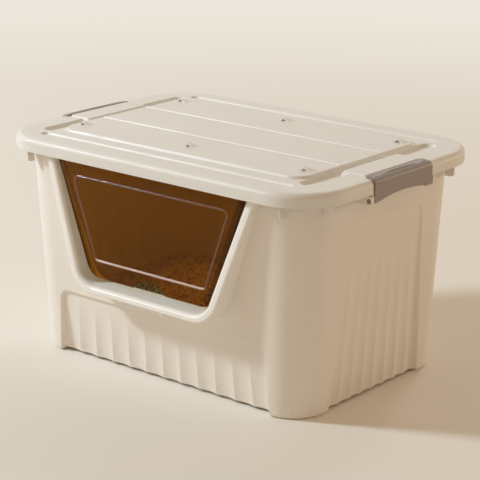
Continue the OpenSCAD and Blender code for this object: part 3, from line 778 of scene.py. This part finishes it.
# Each finish: its maker, its name and the setting that holds its colour; then its looks
FINISHES = {
    "tub": (moulded_plastic, "Satin moulded polypropylene, cream", "tub"),
    "frame": (moulded_plastic, "Gloss moulded polypropylene, cream", "frame"),
    "lid": (moulded_plastic, "Gloss moulded polypropylene, off-white", "lid"),
    "latch": (moulded_plastic, "Satin moulded ABS, warm grey", "latch"),
    "flap": (smoked_plastic, "Polished smoked polystyrene", "flap"),
    "bead": (smoked_plastic, "Rounded smoked polystyrene", "flap"),
    "painted_highlight": (smoked_plastic, "Frosted smoked polystyrene", "flap"),
    "steel": (drawn_steel, "Cold-drawn steel", "steel"),
    "litter": (loose_litter, "Crushed mineral litter", "litter"),
    "floor": (painted_board, "Matt painted board", "floor"),
}
LOOKS = {
    "tub": dict(rough=0.42, grain=0.05, gloss=0.45, dust=0.12),
    "frame": dict(rough=0.34, grain=0.02, gloss=0.45),
    "lid": dict(rough=0.42, grain=0.01, waves=0.2, gloss=0.38),
    "latch": dict(rough=0.34, grain=0.06),
    "flap": dict(veil="#BC803A", milky=0.05, rough=0.1, ior=1.15),
    # the bead's small pale milky share is a slight painted sheen in place of its reflections
    "bead": dict(veil="#F2DCD0", milky=0.03, rough=0.16, ior=1.5),
    # a pale milky share on the bead's lower run: a painted highlight
    "painted_highlight": dict(veil="#F2DCD0", milky=0.6, rough=0.2, ior=1.75),
}
MATERIALS = {}  # finished materials by finish


def finish(key):
    """The material of a finish, made on first use."""
    if key not in MATERIALS:
        make, name, setting = FINISHES[key]
        material = MATERIALS[key] = bpy.data.materials.new(name)
        material.use_nodes = True
        tree = material.node_tree
        tree.nodes.clear()
        place = add(tree, "TexCoord").outputs["Object"]
        rgb = getattr(bpy.context.scene.box_finish, setting)
        surface = make(tree, place, rgb, **LOOKS.get(key, {}))
        add(tree, "OutputMaterial", {"Surface": surface})
    return MATERIALS[key]


# --- operators ----------------------------------------------------------------


class BOX_OT_tub(bpy.types.Operator):
    """Moulds the tub: tapered walls, fluted panels, rim flange, gussets and ears"""

    bl_idname = "litter_box.tub"
    bl_label = "Tub"

    def execute(self, context):
        tub = sizes("box_tub")
        form = TubForm(tub)
        skin = Skin()
        rows = skin.tube(tub_rows(tub, form))
        tub_floor(skin, rows[0], form.raised, 0, tub.foot, 0)
        tub_floor(skin, rows[-1], form.raised, tub.wall, tub.foot + tub.wall, tub.wall)
        cut = [doorway(tub.wall + 0.1), pin_bores()]
        piece = mould("tub_shell", skin, [tub_brackets(tub, form)], cut, cusps=1.2e-5)
        clad(piece, finish("tub"), "tub_body", "shell", "tub")
        return {"FINISHED"}


class BOX_OT_door_frame(bpy.types.Operator):
    """Moulds the hooded door frame with its spigot and the flap's bearings"""

    bl_idname = "litter_box.door_frame"
    bl_label = "Door frame"

    def execute(self, context):
        tub, door = sizes("box_tub"), sizes("box_door")
        form = TubForm(tub)
        strip, wall = door.strip, tub.wall
        below = SILL_SHARE * strip
        drops = [0, wall, strip - wall, strip], [0, wall, below - wall, below]

        def hood(z):
            """The strip's face, which leans forward downwards."""
            return 200 + 0.08 * (300 - z)

        def behind(z):
            """The spigot's end, inside the tub's wall."""
            return form.side_y(z) - wall - 1

        def row(grow, face, back):
            """Outline grown by grow; face is a hood, wall or inside surface, set back."""
            low = door.sill - float(np.interp(grow, *drops))
            top = DOOR_TOP + (tub.height - FLANGE - 0.1 - DOOR_TOP) * grow / strip
            corner = door.corner + grow
            path = rounded(door_shape(grow, low, top), [corner, corner, 0.5, 0.5], 16)
            return [(x, -(face(z) - back), z) for x, z in path]

        rows = [row(0.5, behind, 0), row(0, behind, -0.5)]
        rows += [row(along, hood, back) for along, back in bend(door.inner_round, 6)]
        rows += [row(strip - along, hood, back) for back, along in bend(door.outer_round, 6)]
        rows += [row(strip, form.side_y, -0.1), row(strip - wall, form.side_y, -0.1)]
        rows += [row(strip - wall, hood, wall), row(wall, hood, wall), row(wall, behind, 0)]
        skin = Skin()
        skin.tube(rows, closed=True)

        ribs, bosses, bores = Skin(), Skin(), Skin()
        low = door.sill - below
        foot, rib_x = low - 6.4, 39
        front, back = -hood(low) + 0.6, -form.side_y(low) - 0.1
        outline = [(front, low + 1.2), (front, low - 0.5), (front + 3.6, foot)]
        outline += [(back, foot), (back, low + 1.2)]
        outline = rounded(outline, [0.1, 1.5, 1.5, 0.1, 0.1], 4)
        at, place = door_half(HINGE_Z), (0, -FLAP_Y, HINGE_Z)
        for side in (-1, 1):
            ribs.prism(outline, "x", side * rib_x - RIB_HALF, side * rib_x + RIB_HALF)
            bosses.bar([(side * (at + 0.4), 5), (side * (at + 8), 5)], "x", place)
            bores.bar([(side * (at - 6), 2.45), (side * (at + 6.5), 2.45)], "x", place, 24)
        piece = mould("door_frame_hood", skin, [ribs, bosses], [bores])
        clad(piece, finish("frame"), "tub_body", "door_trim", "door_frame")
        return {"FINISHED"}


class BOX_OT_flap(bpy.types.Operator):
    """Moulds the smoked flap: rounded plate, bead, finger notch and hinge barrel"""

    bl_idname = "litter_box.flap"
    bl_label = "Flap"

    def execute(self, context):
        door = sizes("box_door")
        low = door.sill + 7
        front, back = -FLAP_Y - door.flap / 2, -FLAP_Y + door.flap / 2
        edge = 0.7  # rounding of the plate's edges
        notch_half, notch_height = 31.5, 13
        notch_r = (notch_half**2 + notch_height**2) / (2 * notch_height)
        turn = math.asin((notch_half - 0.001) / notch_r)
        bead_low, bead_top, bead_inset = low + 25, HINGE_Z - 25.5, 23.5
        # the bead's rounded section: distance inwards, and share of the bead's height
        section = [(0, 0), (0.45, 0.75), (1.1, 1), (2.5, 1), (3.15, 0.75), (3.6, 0)]

        def outline(inset):
            """The plate's edge, drawn in by inset, with the notch in its lower side."""
            r = door.corner - FLAP_GAP - inset
            side = FLAP_GAP + inset * math.hypot(1, DOOR_LEAN)
            path = np.array(door_shape(-side, low, HINGE_Z))
            path[:2, 1] += inset
            path = rounded(path, [r, r, 0.3, 0.3], 10)
            grown = notch_r + inset
            notch = []
            for t in np.linspace(-turn, turn, 21):
                z = low + notch_height - notch_r + grown * math.cos(t)
                notch.append((grown * math.sin(t), max(z, low + inset)))
            return np.concatenate([path[:11], notch, path[11:]])

        skin = Skin()
        rings = [(inset, front + deep) for deep, inset in bend(edge, 3)]
        rings += [(inset, front + back - y) for inset, y in rings[::-1]]
        numbers = skin.tube([across(outline(inset), "y", y) for inset, y in rings])
        corners = door_shape(-bead_inset, bead_low, bead_top)
        loops = [contour(corners, [10] * 4, -inwards) for inwards, _ in section]
        heights = [door.bead * share for _, share in section]
        raised = [across(loop, "y", front - up) for loop, up in zip(loops, heights)]
        skin.fill(numbers[0], outline(edge), loops, raised)
        skin.fill(numbers[-1], outline(edge), [], [])

        barrel = Skin()
        span = door_half(HINGE_Z) - FLAP_GAP
        ends = [(span + 9, 2.0), (span + 8.6, 2.4), (span, 2.4), (span, 2.7), (span - 0.3, 3.0)]
        profile = [(-along, r) for along, r in ends] + ends[::-1]
        barrel.bar(profile, "x", (0, -FLAP_Y, HINGE_Z))
        piece = mould("flap_panel", skin, [barrel], crease=40)
        clad(piece, finish("flap"), "flap_body", "smoked_panel", "flap")
        piece.data.materials.append(finish("bead"))
        piece.data.materials.append(finish("painted_highlight"))
        for face in piece.data.polygons:
            spots = [piece.data.vertices[i].co / MM for i in face.vertices]
            top = max(spot.z for spot in spots)
            if min(spot.y for spot in spots) < front - 0.1 and top < HINGE_Z - 10:
                # the bead's lower run takes a pale milky finish, a painted highlight in place of
                # the lamp's reflection on it
                face.material_index = 2 if top < bead_low + 5 else 1
        return {"FINISHED"}


STEP = (1.7, 1.1, 0.5, -0.1, -0.7, -1.3, -1.9)  # contours across a moulded step
FLOOR_STEP = (1.2, 0.7, 0.2, -0.3, -0.8, -1.3)  # the same for a channel's wall
# The lid's outlines with their corner radii: raised middle, gutters, channels and pads
MIDDLE = (box_path(230, 140), [26] * 4)
GUTTERS = [(box_path(237, 7, (0, side * 168)), [7] * 4) for side in (-1, 1)]
CHANNEL = [(232, -151), (256, -151), (256, -66), (241, -66)]
CHANNEL += [(x, -y) for x, y in CHANNEL[::-1]]
CHANNELS = [([(-x, y) for x, y in CHANNEL[::-1]], [11, 11, 3, 4, 4, 3, 11, 11])]
CHANNELS.append((CHANNEL, CHANNELS[0][1]))
PADS = [(box_path(20, 64, (side * 263, 0)), [4] * 4) for side in (-1, 1)]
RIB, RIB_Y = (227.6, 1.25), 48  # the thin ribs' half length and half width, and their place
NUBS = tuple(itertools.product((-211, 0, 211), (-109, 109)))  # the stacking nubs' places
GUTTER_DEPTH, CHANNEL_DEPTH, RIB_RISE, PAD_RISE, NUB_RISE = 3.5, 5.0, 1.4, 2.4, 7


def lid_outline(lid):
    """Columns round the lid: x, y, outward normal, and 1 on a latch seat."""
    half_x, half_y, r = lid.length / 2, lid.width / 2, lid.corner
    quarter = [(half_x, y, 1, 0, 1) for y in (0.0, 35.0, 62.0, SEAT_HALF - 0.15)]
    quarter += [(half_x, y, 1, 0, 0) for y in (SEAT_HALF + 0.15, 92.0, 112.0)]
    for a in np.radians(np.linspace(0, 90, 25)):
        c, s = math.cos(a), math.sin(a)
        quarter.append((half_x - r + r * c, half_y - r + r * s, c, s, 0))
    quarter += [(x, half_y, 0, 1, 0) for x in (165.0, 110.0, 55.0, 0.0)]
    q = np.array(quarter)
    on, back = q[:-1], q[:0:-1]
    parts = ((1, 1, on), (-1, 1, back), (-1, -1, on), (1, -1, back))
    return np.concatenate([part * (sx, sy, sx, sy, 1) for sx, sy, part in parts])


def lid_plan(outer):
    """Plan of the lid inside its rounded edge, cut along every feature's contours."""
    loops = [contour(*MIDDLE, grow, 8) for grow in STEP]
    loops += [contour(*gutter, grow, 6) for gutter in GUTTERS for grow in STEP]
    loops += [contour(*channel, grow, 5) for channel in CHANNELS for grow in FLOOR_STEP]
    for side in (-1, 1):
        for half in (RIB, (227.2, 0.75), (226.6, 0.3)):
            loops.append(np.array(box_path(*half, (0, side * RIB_Y))))
    loops += [contour(*pad, grow, 4) for pad in PADS for grow in (0, -0.5, -1.0, -1.6)]
    lines = []
    for x, y in NUBS:
        base = [(x - 11, y), (x + 11, y), (x + 11, y + 18), (x - 11, y + 18)]
        loops.append(np.array(base))
        lines += [[(x, y + 0.7), corner] for corner in base]
    points, faces, numbers = plan(outer, loops, lines)
    peaks = {line[0] for line in numbers[1 + len(loops) :]}
    return points, faces, numbers[0], peaks


def lid_heights(points, rim, lid):
    """Heights of the lid's upper face and of its underside at plan points."""

    def share(feature, steps):
        """0 outside a feature, 1 inside, eased across its contours."""
        d = inside_by(points, contour(*feature, 0, 12))
        return ease((d + steps[0]) / (steps[0] - steps[-1]))

    def swell(outline, round_off):
        """0 outside an outline, 1 inside, rounded off within round_off of it."""
        return np.sin(np.clip(inside_by(points, outline) / round_off, 0, 1) * math.pi / 2)

    z = rim + lid.rise * share(MIDDLE, STEP)
    for gutter in GUTTERS:
        z = z - GUTTER_DEPTH * share(gutter, STEP)
    for channel in CHANNELS:
        z = z - CHANNEL_DEPTH * share(channel, FLOOR_STEP)
    under = z - lid.wall
    for side in (-1, 1):
        z = z + RIB_RISE * swell(np.array(box_path(*RIB, (0, side * RIB_Y))), 0.95)
    for pad in PADS:
        z = z + PAD_RISE * swell(contour(*pad, 0, 4), 1.55)
    return z, under


def nub_pockets(panel_z):
    """Wedges that hollow the triangular fronts of the stacking nubs."""
    skin = Skin()
    for x, y in NUBS:
        outline = [(x - 6, panel_z + 0.5), (x + 6, panel_z + 0.5), (x, panel_z + 4.4)]
        skin.prism(rounded(outline, [0.5, 0.5, 0.8], 3), "y", y - 1, y + 4)
    return skin


class BOX_OT_lid(bpy.types.Operator):
    """Moulds the lid: rounded skirt with latch seats, raised middle, gutters, channels,
    ribs and stacking nubs"""

    bl_idname = "litter_box.lid"
    bl_label = "Lid"

    def execute(self, context):
        lid, tub = sizes("box_lid"), sizes("box_tub")
        rim = tub.height + lid.wall
        foot, straight = rim - lid.skirt, rim - lid.edge
        bevel = 1.24  # how far the seat's bevel runs down to its end face
        slope = rim - bevel
        x, y, normal_x, normal_y, on_seat = lid_outline(lid).T
        seat = on_seat > 0

        def ring(inset, z, seat_inset=None, seat_z=None):
            """One row of the skirt; the seats behind the latches may have their own."""
            seat_inset = inset if seat_inset is None else seat_inset
            end = np.sign(x) * (SEAT_END_X - seat_inset)
            row_x = np.where(seat, end, x - normal_x * inset)
            row_z = np.where(seat, z if seat_z is None else seat_z, z)
            return np.stack([row_x, y - normal_y * inset, row_z], axis=1)

        rows = [ring(1.0, foot), ring(0.3, foot + 0.25), ring(0, foot + 1)]
        for t in np.linspace(0, 1, 9):
            a = math.radians(90 * t)
            inset, z = lid.edge * (1 - math.cos(a)), straight + lid.edge * math.sin(a)
            seat_z = slope - 0.8 + 0.8 * min(1, 6 * t) + bevel * t**0.7
            rows.append(ring(inset, z, 4.5 * t**0.7, seat_z))
        inside = [ring(1.6, foot), ring(lid.wall, foot + 0.8)]
        inner_r = lid.edge - lid.wall
        for t in np.linspace(0, 1, 7):
            a = math.radians(90 * t)
            inset, z = lid.wall + inner_r * (1 - math.cos(a)), straight + inner_r * math.sin(a)
            seat_z = slope - lid.wall - 0.6 + (0.6 + bevel) * t
            inside.append(ring(inset, z, lid.wall + 2.0 * t, seat_z))

        skin = Skin()
        numbers = skin.tube(inside[::-1] + rows)
        top, faces, found, peaks = lid_plan(rows[-1][:, :2])
        z_top, z_under = lid_heights(top, rim, lid)
        z_top[list(peaks)] += NUB_RISE
        for ring_numbers, heights in ((numbers[-1], z_top), (numbers[0], z_under)):
            real = dict(zip(found, ring_numbers))
            free = [i for i in range(len(top)) if i not in real]
            real.update(zip(free, skin.add([(*top[i], heights[i]) for i in free])))
            skin.faces += [tuple(real[i] for i in face) for face in faces]
        piece = mould("lid_shell", skin, cut=[nub_pockets(rim + lid.rise)])
        clad(piece, finish("lid"), "lid_body", "lid", "lid")
        return {"FINISHED"}


class BOX_OT_latches(bpy.types.Operator):
    """Moulds the two latches: arched face, hooked lip, finger scoop and knuckles"""

    bl_idname = "litter_box.latches"
    bl_label = "Latches"

    def execute(self, context):
        latch, tub, lid = sizes("box_latch"), sizes("box_tub"), sizes("box_lid")
        face, tip = 301.5, SEAT_END_X - 4.5
        foot, tip_z = PIN_Z - PIN_R, tub.height + lid.wall + 0.6
        top = tip_z + 2
        fall = 4.4 / (face - tip)
        half = latch.length / 2
        inner = face - latch.wall
        arch_half, bow = 56, 300  # half length of the arch, radius of the scoop's side

        def round_end(near_end, r):
            """How much a rounding of the ends takes off at a distance from the end."""
            return r - math.sqrt(max(0, r * r - (r - min(near_end, r)) ** 2))

        def section(y):
            """The latch's cross-section at y, inside its rounded ends."""
            near_end = half - abs(y)
            arch_r = (arch_half**2 + latch.arch**2) / (2 * latch.arch)
            arch = max(0, latch.arch - arch_r + math.sqrt(max(0, arch_r**2 - y * y)))
            low = foot + max(arch, round_end(near_end, 3))
            crown = top - round_end(near_end, 6) * 0.3
            path = [(inner, low), (face - 0.25, low), (face, low + 12), (face, crown - 5)]
            path += [(face - 5, crown - 1.6), (tip, crown), (tip, tip_z)]
            path += [(SEAT_END_X + 0.9, tip_z - fall * 5.4), (SEAT_END_X + 2.6, top - 7.2)]
            path.append((inner, top - 11.5))
            return rounded(path, [0.8, 1.0, 14, 5.5, 1.8, 0.7, 0.4, 0.4, 1.0, 1.5], 5)

        def scoop(side):
            """The lens-shaped hollow between the ridge and the lip."""
            rows = []
            for up in (0.0, 0.25, 0.8, 1.6, 12.0):
                reach = bow - latch.scoop + up
                y = np.linspace(-60, 60, 41) * (1 - max(0, 0.5 - up) / 60)
                lens = tip + 3.3 + bow - np.sqrt(reach**2 - y * y)
                back = np.minimum(lens, face - 5.8 - max(0, 0.3 - up))
                front = np.full_like(y, face - 5.6 - max(0, 0.8 - up) ** 2 * 0.6)
                x, y = np.append(back, front[::-1]), np.append(y, y[::-1])
                rows.append(across(np.stack([x, y], axis=1), "z", top - latch.scoop + up))
            skin = Skin(side)
            skin.solid(rows)
            return skin

        ends = [half - d for d in (0.0, 0.25, 0.8, 1.6, 2.6, 3.8, 5.2, 7, 10)]
        stations = [*ends, *np.linspace(half - 13, -half + 13, 40), *[-s for s in ends[::-1]]]
        middle = np.array([(face + inner) / 2, 320])
        for side, name in ((1, "latch_right"), (-1, "latch_left")):
            skin, knuckles, bores = Skin(), Skin(), Skin()
            rows = []
            for y in stations:
                pull = max(0, 0.5 - (half - abs(y))) * 0.02
                outline = middle + (section(y) - middle) * (1 - pull)
                rows.append(across(outline * (side, 1), "y", y))
            skin.solid(rows)
            for sy in (-1, 1):
                place = (side * PIN_X, sy * (half - 5), PIN_Z)
                knuckles.bar([(-5, 4.4), (-4.6, 4.8), (4.6, 4.8), (5, 4.4)], "y", place)
                bores.bar([(-6, PIN_R + 0.05), (6, PIN_R + 0.05)], "y", place, 24)
            piece = mould(name + "_clip", skin, [knuckles], [bores, scoop(side)], crease=40)
            clad(piece, finish("latch"), name + "_body", "latch", name)
        return {"FINISHED"}


class BOX_OT_pins(bpy.types.Operator):
    """Turns the four headed steel pins"""

    bl_idname = "litter_box.pins"
    bl_label = "Latch pins"

    def execute(self, context):
        profile = [(0, 2.2), (0.4, PIN_R), (15, PIN_R), (15, 3.2), (15.15, 3.4), (15.5, 3.4)]
        profile += [(15.72, 3.1), (15.8, 2.4)]
        for side, way in CORNERS:
            end = ("left" if side < 0 else "right") + ("_front" if way < 0 else "_back")
            skin = Skin()
            turned = [(way * along, r) for along, r in profile]
            skin.bar(turned, "y", (side * PIN_X, way * 60, PIN_Z))
            piece = mould("pin_" + end, skin, crease=35)
            clad(piece, finish("steel"), "tub_body", "pin_steel", "latch_pin_" + end)
        return {"FINISHED"}


class BOX_OT_litter(bpy.types.Operator):
    """Pours the litter: an uneven bed with a heap, and loose granules on it"""

    bl_idname = "litter_box.litter"
    bl_label = "Litter"

    def execute(self, context):
        litter, tub = sizes("box_litter"), sizes("box_tub")
        form = TubForm(tub)
        heap_x, heap_y, heap_r = -85, 10, 122

        def bumps(x, y, size, seed):
            return noise.noise(Vector((x / size, y / size, seed)))

        def surface(x, y):
            """Height of the bed, with the heap and shallow dips raked into it."""
            near = min(math.hypot(x - heap_x, y - heap_y) / heap_r, 1)
            heap = litter.heap * max(0, math.cos(near * math.pi / 2)) ** 1.5
            rough = bumps(x, y, 9, 4) * 1.1 + bumps(x, y, 3.6, 9) * 0.7
            return litter.level - 2.2 + 2.6 * bumps(x, y, 42, 0) + heap + rough

        def wall_row(z, gap):
            return form.row(z, tub.wall + gap, tub.wall)[:, :3]

        skin = Skin()
        edge = wall_row(litter.level - 6, 0.6)
        rows = [wall_row(9.5, 5.0), wall_row(14, 1.5), wall_row(40, 0.8), edge]
        for t in np.linspace(0.004, 0.985, 105):
            rows.append([(x, y, surface(x, y)) for x, y in edge[:, :2] * (1 - t)])
        numbers = skin.tube(rows)
        skin.faces.append(tuple(numbers[0]))
        centre = skin.add([(0, 0, surface(0, 0))])[0]
        last = numbers[-1]
        skin.faces += [(a, b, centre) for a, b in zip(last, last[1:] + last[:1])]
        bed = mould("litter_fill", skin, crease=60)
        granules = scatter(bed, litter)
        clad(bed, finish("litter"), "tub_body", "litter", "litter_bed")
        clad(granules, finish("litter"), "tub_body", "litter")
        return {"FINISHED"}


def scatter(bed, litter):
    """Loose granules over the bed's upper face, as one mesh."""
    group = bpy.data.node_groups.new("Loose granules", "GeometryNodeTree")
    faces = group.interface
    faces.new_socket("Geometry", in_out="INPUT", socket_type="NodeSocketGeometry")
    given = {"Density": litter.density, "Grain size": litter.grain * MM, "Seed": litter.seed}
    named = {}
    for label, value in given.items():
        kind = "NodeSocketInt" if isinstance(value, int) else "NodeSocketFloat"
        named[label] = faces.new_socket(label, in_out="INPUT", socket_type=kind).identifier
    faces.new_socket("Geometry", in_out="OUTPUT", socket_type="NodeSocketGeometry")

    source = add(group, "NodeGroupInput").outputs
    seed = {"Seed": source["Seed"]}
    facing = add(group, "SeparateXYZ", {"Vector": add(group, "GeometryNodeInputNormal")})
    level = {"A": facing.outputs["Z"], "B": 0.35}
    upper = add(group, "FunctionNodeCompare", level, operation="GREATER_THAN")
    bed_face = {"Mesh": source["Geometry"], "Selection": upper, "Density": source["Density"]}
    spots = add(group, "GeometryNodeDistributePointsOnFaces", {**bed_face, **seed})
    stone = add(group, "GeometryNodeMeshIcoSphere", {"Radius": 0.5, "Subdivisions": 1})
    random = dict(kind="FunctionNodeRandomValue", data_type="FLOAT_VECTOR")
    turns = {"Min": (0.0, 0.0, 0.0), "Max": (6.3, 6.3, 6.3), **seed}
    turn = add(group, inputs=turns, **random)
    shape = add(group, inputs={"Min": (0.5, 0.4, 0.35), "Max": (1.3, 1.0, 0.8)}, **random)
    scale = {0: shape, "Scale": source["Grain size"]}
    sized = add(group, "ShaderNodeVectorMath", scale, operation="SCALE")
    stones = {"Points": spots, "Instance": stone, "Rotation": turn, "Scale": sized}
    placed = add(group, "GeometryNodeInstanceOnPoints", stones)
    real = add(group, "GeometryNodeRealizeInstances", {"Geometry": placed})
    paint_in = {"Geometry": real, "Material": finish("litter")}
    painted = add(group, "GeometryNodeSetMaterial", paint_in)
    add(group, "NodeGroupOutput", {"Geometry": painted})

    step = bed.modifiers.new("granules", "NODES")
    step.node_group = group
    for label, value in given.items():
        step[named[label]] = value
    evaluated = bed.evaluated_get(bpy.context.evaluated_depsgraph_get())
    mesh = bpy.data.meshes.new_from_object(evaluated)
    bed.modifiers.remove(step)
    mesh.name = "litter_granules"
    return shown(mesh.name, mesh)


# The camera's lens in millimetres, its degrees round from the front, up and rolled, and
# its metres from a target that lies aside of the box's middle and above the floor
LENS, AZIMUTH, ELEVATION, ROLL = 133.95, 40.11, 16.72, 0.19
DISTANCE, TARGET_ASIDE, TARGET_Z = 2.6808, 0.00484, 0.17699
LAMP_TARGET = Vector((0, 0, 0.2))


class BOX_OT_studio(bpy.types.Operator):
    """Sets the floor, the lamps, the world and the camera"""

    bl_idname = "litter_box.studio"
    bl_label = "Studio"

    def execute(self, context):
        scene = context.scene
        scene.view_settings.view_transform = "Standard"
        skin = Skin()
        skin.faces.append(tuple(skin.add(across(box_path(14000, 14000), "z", 0))))
        floor = skin.build("studio_floor")
        floor.data.materials.append(finish("floor"))

        world = scene.world = bpy.data.worlds.new("Studio")
        world.use_nodes = True
        tree = world.node_tree
        tree.nodes.clear()
        path = add(tree, "LightPath").outputs
        seen = path["Is Camera Ray"]
        for ray in ("Is Transmission Ray", "Is Glossy Ray"):
            seen = add(tree, "Math", {0: seen, 1: path[ray]}, operation="MAXIMUM")
        soft = add(tree, "Background", {"Color": (1.0, 0.75, 0.5, 1.0), "Strength": 0.43})
        paper = add(tree, "Background", {"Color": tone(BACKDROP), "Strength": 1.0})
        mixed = add(tree, "MixShader", {0: seen, 1: soft, 2: paper})
        add(tree, "OutputWorld", {"Surface": mixed})

        lamp("Window light", (-2.81, -1.83, 2.38), 0.5, 110, (0.78, 0.9, 1.0))
        lamp("Ceiling light", (-0.4, 2.5, 2.7), 0.7, 13, (0.95, 0.96, 1.0))
        lamp("Room light", (1.8, 2.9, 0.45), 0.5, 15, (1.0, 0.8, 0.58))

        camera = bpy.data.cameras.new("Camera")
        camera.lens, camera.sensor_width = LENS, 36.0
        camera.clip_start, camera.clip_end = 0.05, 60.0
        view = scene.camera = shown("Camera", camera)
        azimuth, elevation, roll = map(math.radians, (AZIMUTH, ELEVATION, ROLL))
        flat = math.cos(elevation)
        back = Vector((math.sin(azimuth) * flat, -math.cos(azimuth) * flat, math.sin(elevation)))
        right = Vector((math.cos(azimuth), math.sin(azimuth), 0))
        target = right * TARGET_ASIDE + Vector((0, 0, TARGET_Z))
        turn = back.to_track_quat("Z", "Y").to_matrix() @ Matrix.Rotation(roll, 3, "Z")
        view.matrix_world = Matrix.Translation(target + back * DISTANCE) @ turn.to_4x4()
        return {"FINISHED"}


def lamp(name, place, side, power, shade):
    """A square softbox turned to the box from a place, in metres and watts."""
    light = bpy.data.lights.new(name, "AREA")
    light.shape, light.size, light.energy, light.color = "SQUARE", side, power, shade
    place = Vector(place)
    aim = (LAMP_TARGET - place).to_track_quat("-Z", "Y")
    shown(name, light).matrix_world = Matrix.LocRotScale(place, aim, None)


class BOX_PT_panel(bpy.types.Panel):
    """Lists the pieces of the litter box and their sizes"""

    bl_idname = "BOX_PT_panel"
    bl_label = "Front-entry litter box"
    bl_space_type = "VIEW_3D"
    bl_region_type = "UI"
    bl_category = "Litter Box"

    def draw(self, context):
        layout = self.layout
        for operator in OPERATORS:
            layout.operator(operator.bl_idname)
        for group, kind in PROPERTY_GROUPS.items():
            box = layout.box()
            box.label(text=kind.__doc__)
            for name in kind.__annotations__:
                box.prop(getattr(context.scene, group), name)


OPERATORS = (
    BOX_OT_tub,
    BOX_OT_door_frame,
    BOX_OT_flap,
    BOX_OT_lid,
    BOX_OT_latches,
    BOX_OT_pins,
    BOX_OT_litter,
    BOX_OT_studio,
)
CLASSES = (*PROPERTY_GROUPS.values(), *OPERATORS, BOX_PT_panel)


def register():
    for kind in CLASSES:
        bpy.utils.register_class(kind)
    for group, kind in PROPERTY_GROUPS.items():
        setattr(bpy.types.Scene, group, PointerProperty(type=kind))


def unregister():
    for group in PROPERTY_GROUPS:
        delattr(bpy.types.Scene, group)
    for kind in reversed(CLASSES):
        bpy.utils.unregister_class(kind)


def main():
    """Builds every piece and the studio."""
    register()
    for operator in OPERATORS:
        getattr(bpy.ops.litter_box, operator.bl_idname.split(".")[1])()


if __name__ == "__main__":
    main()
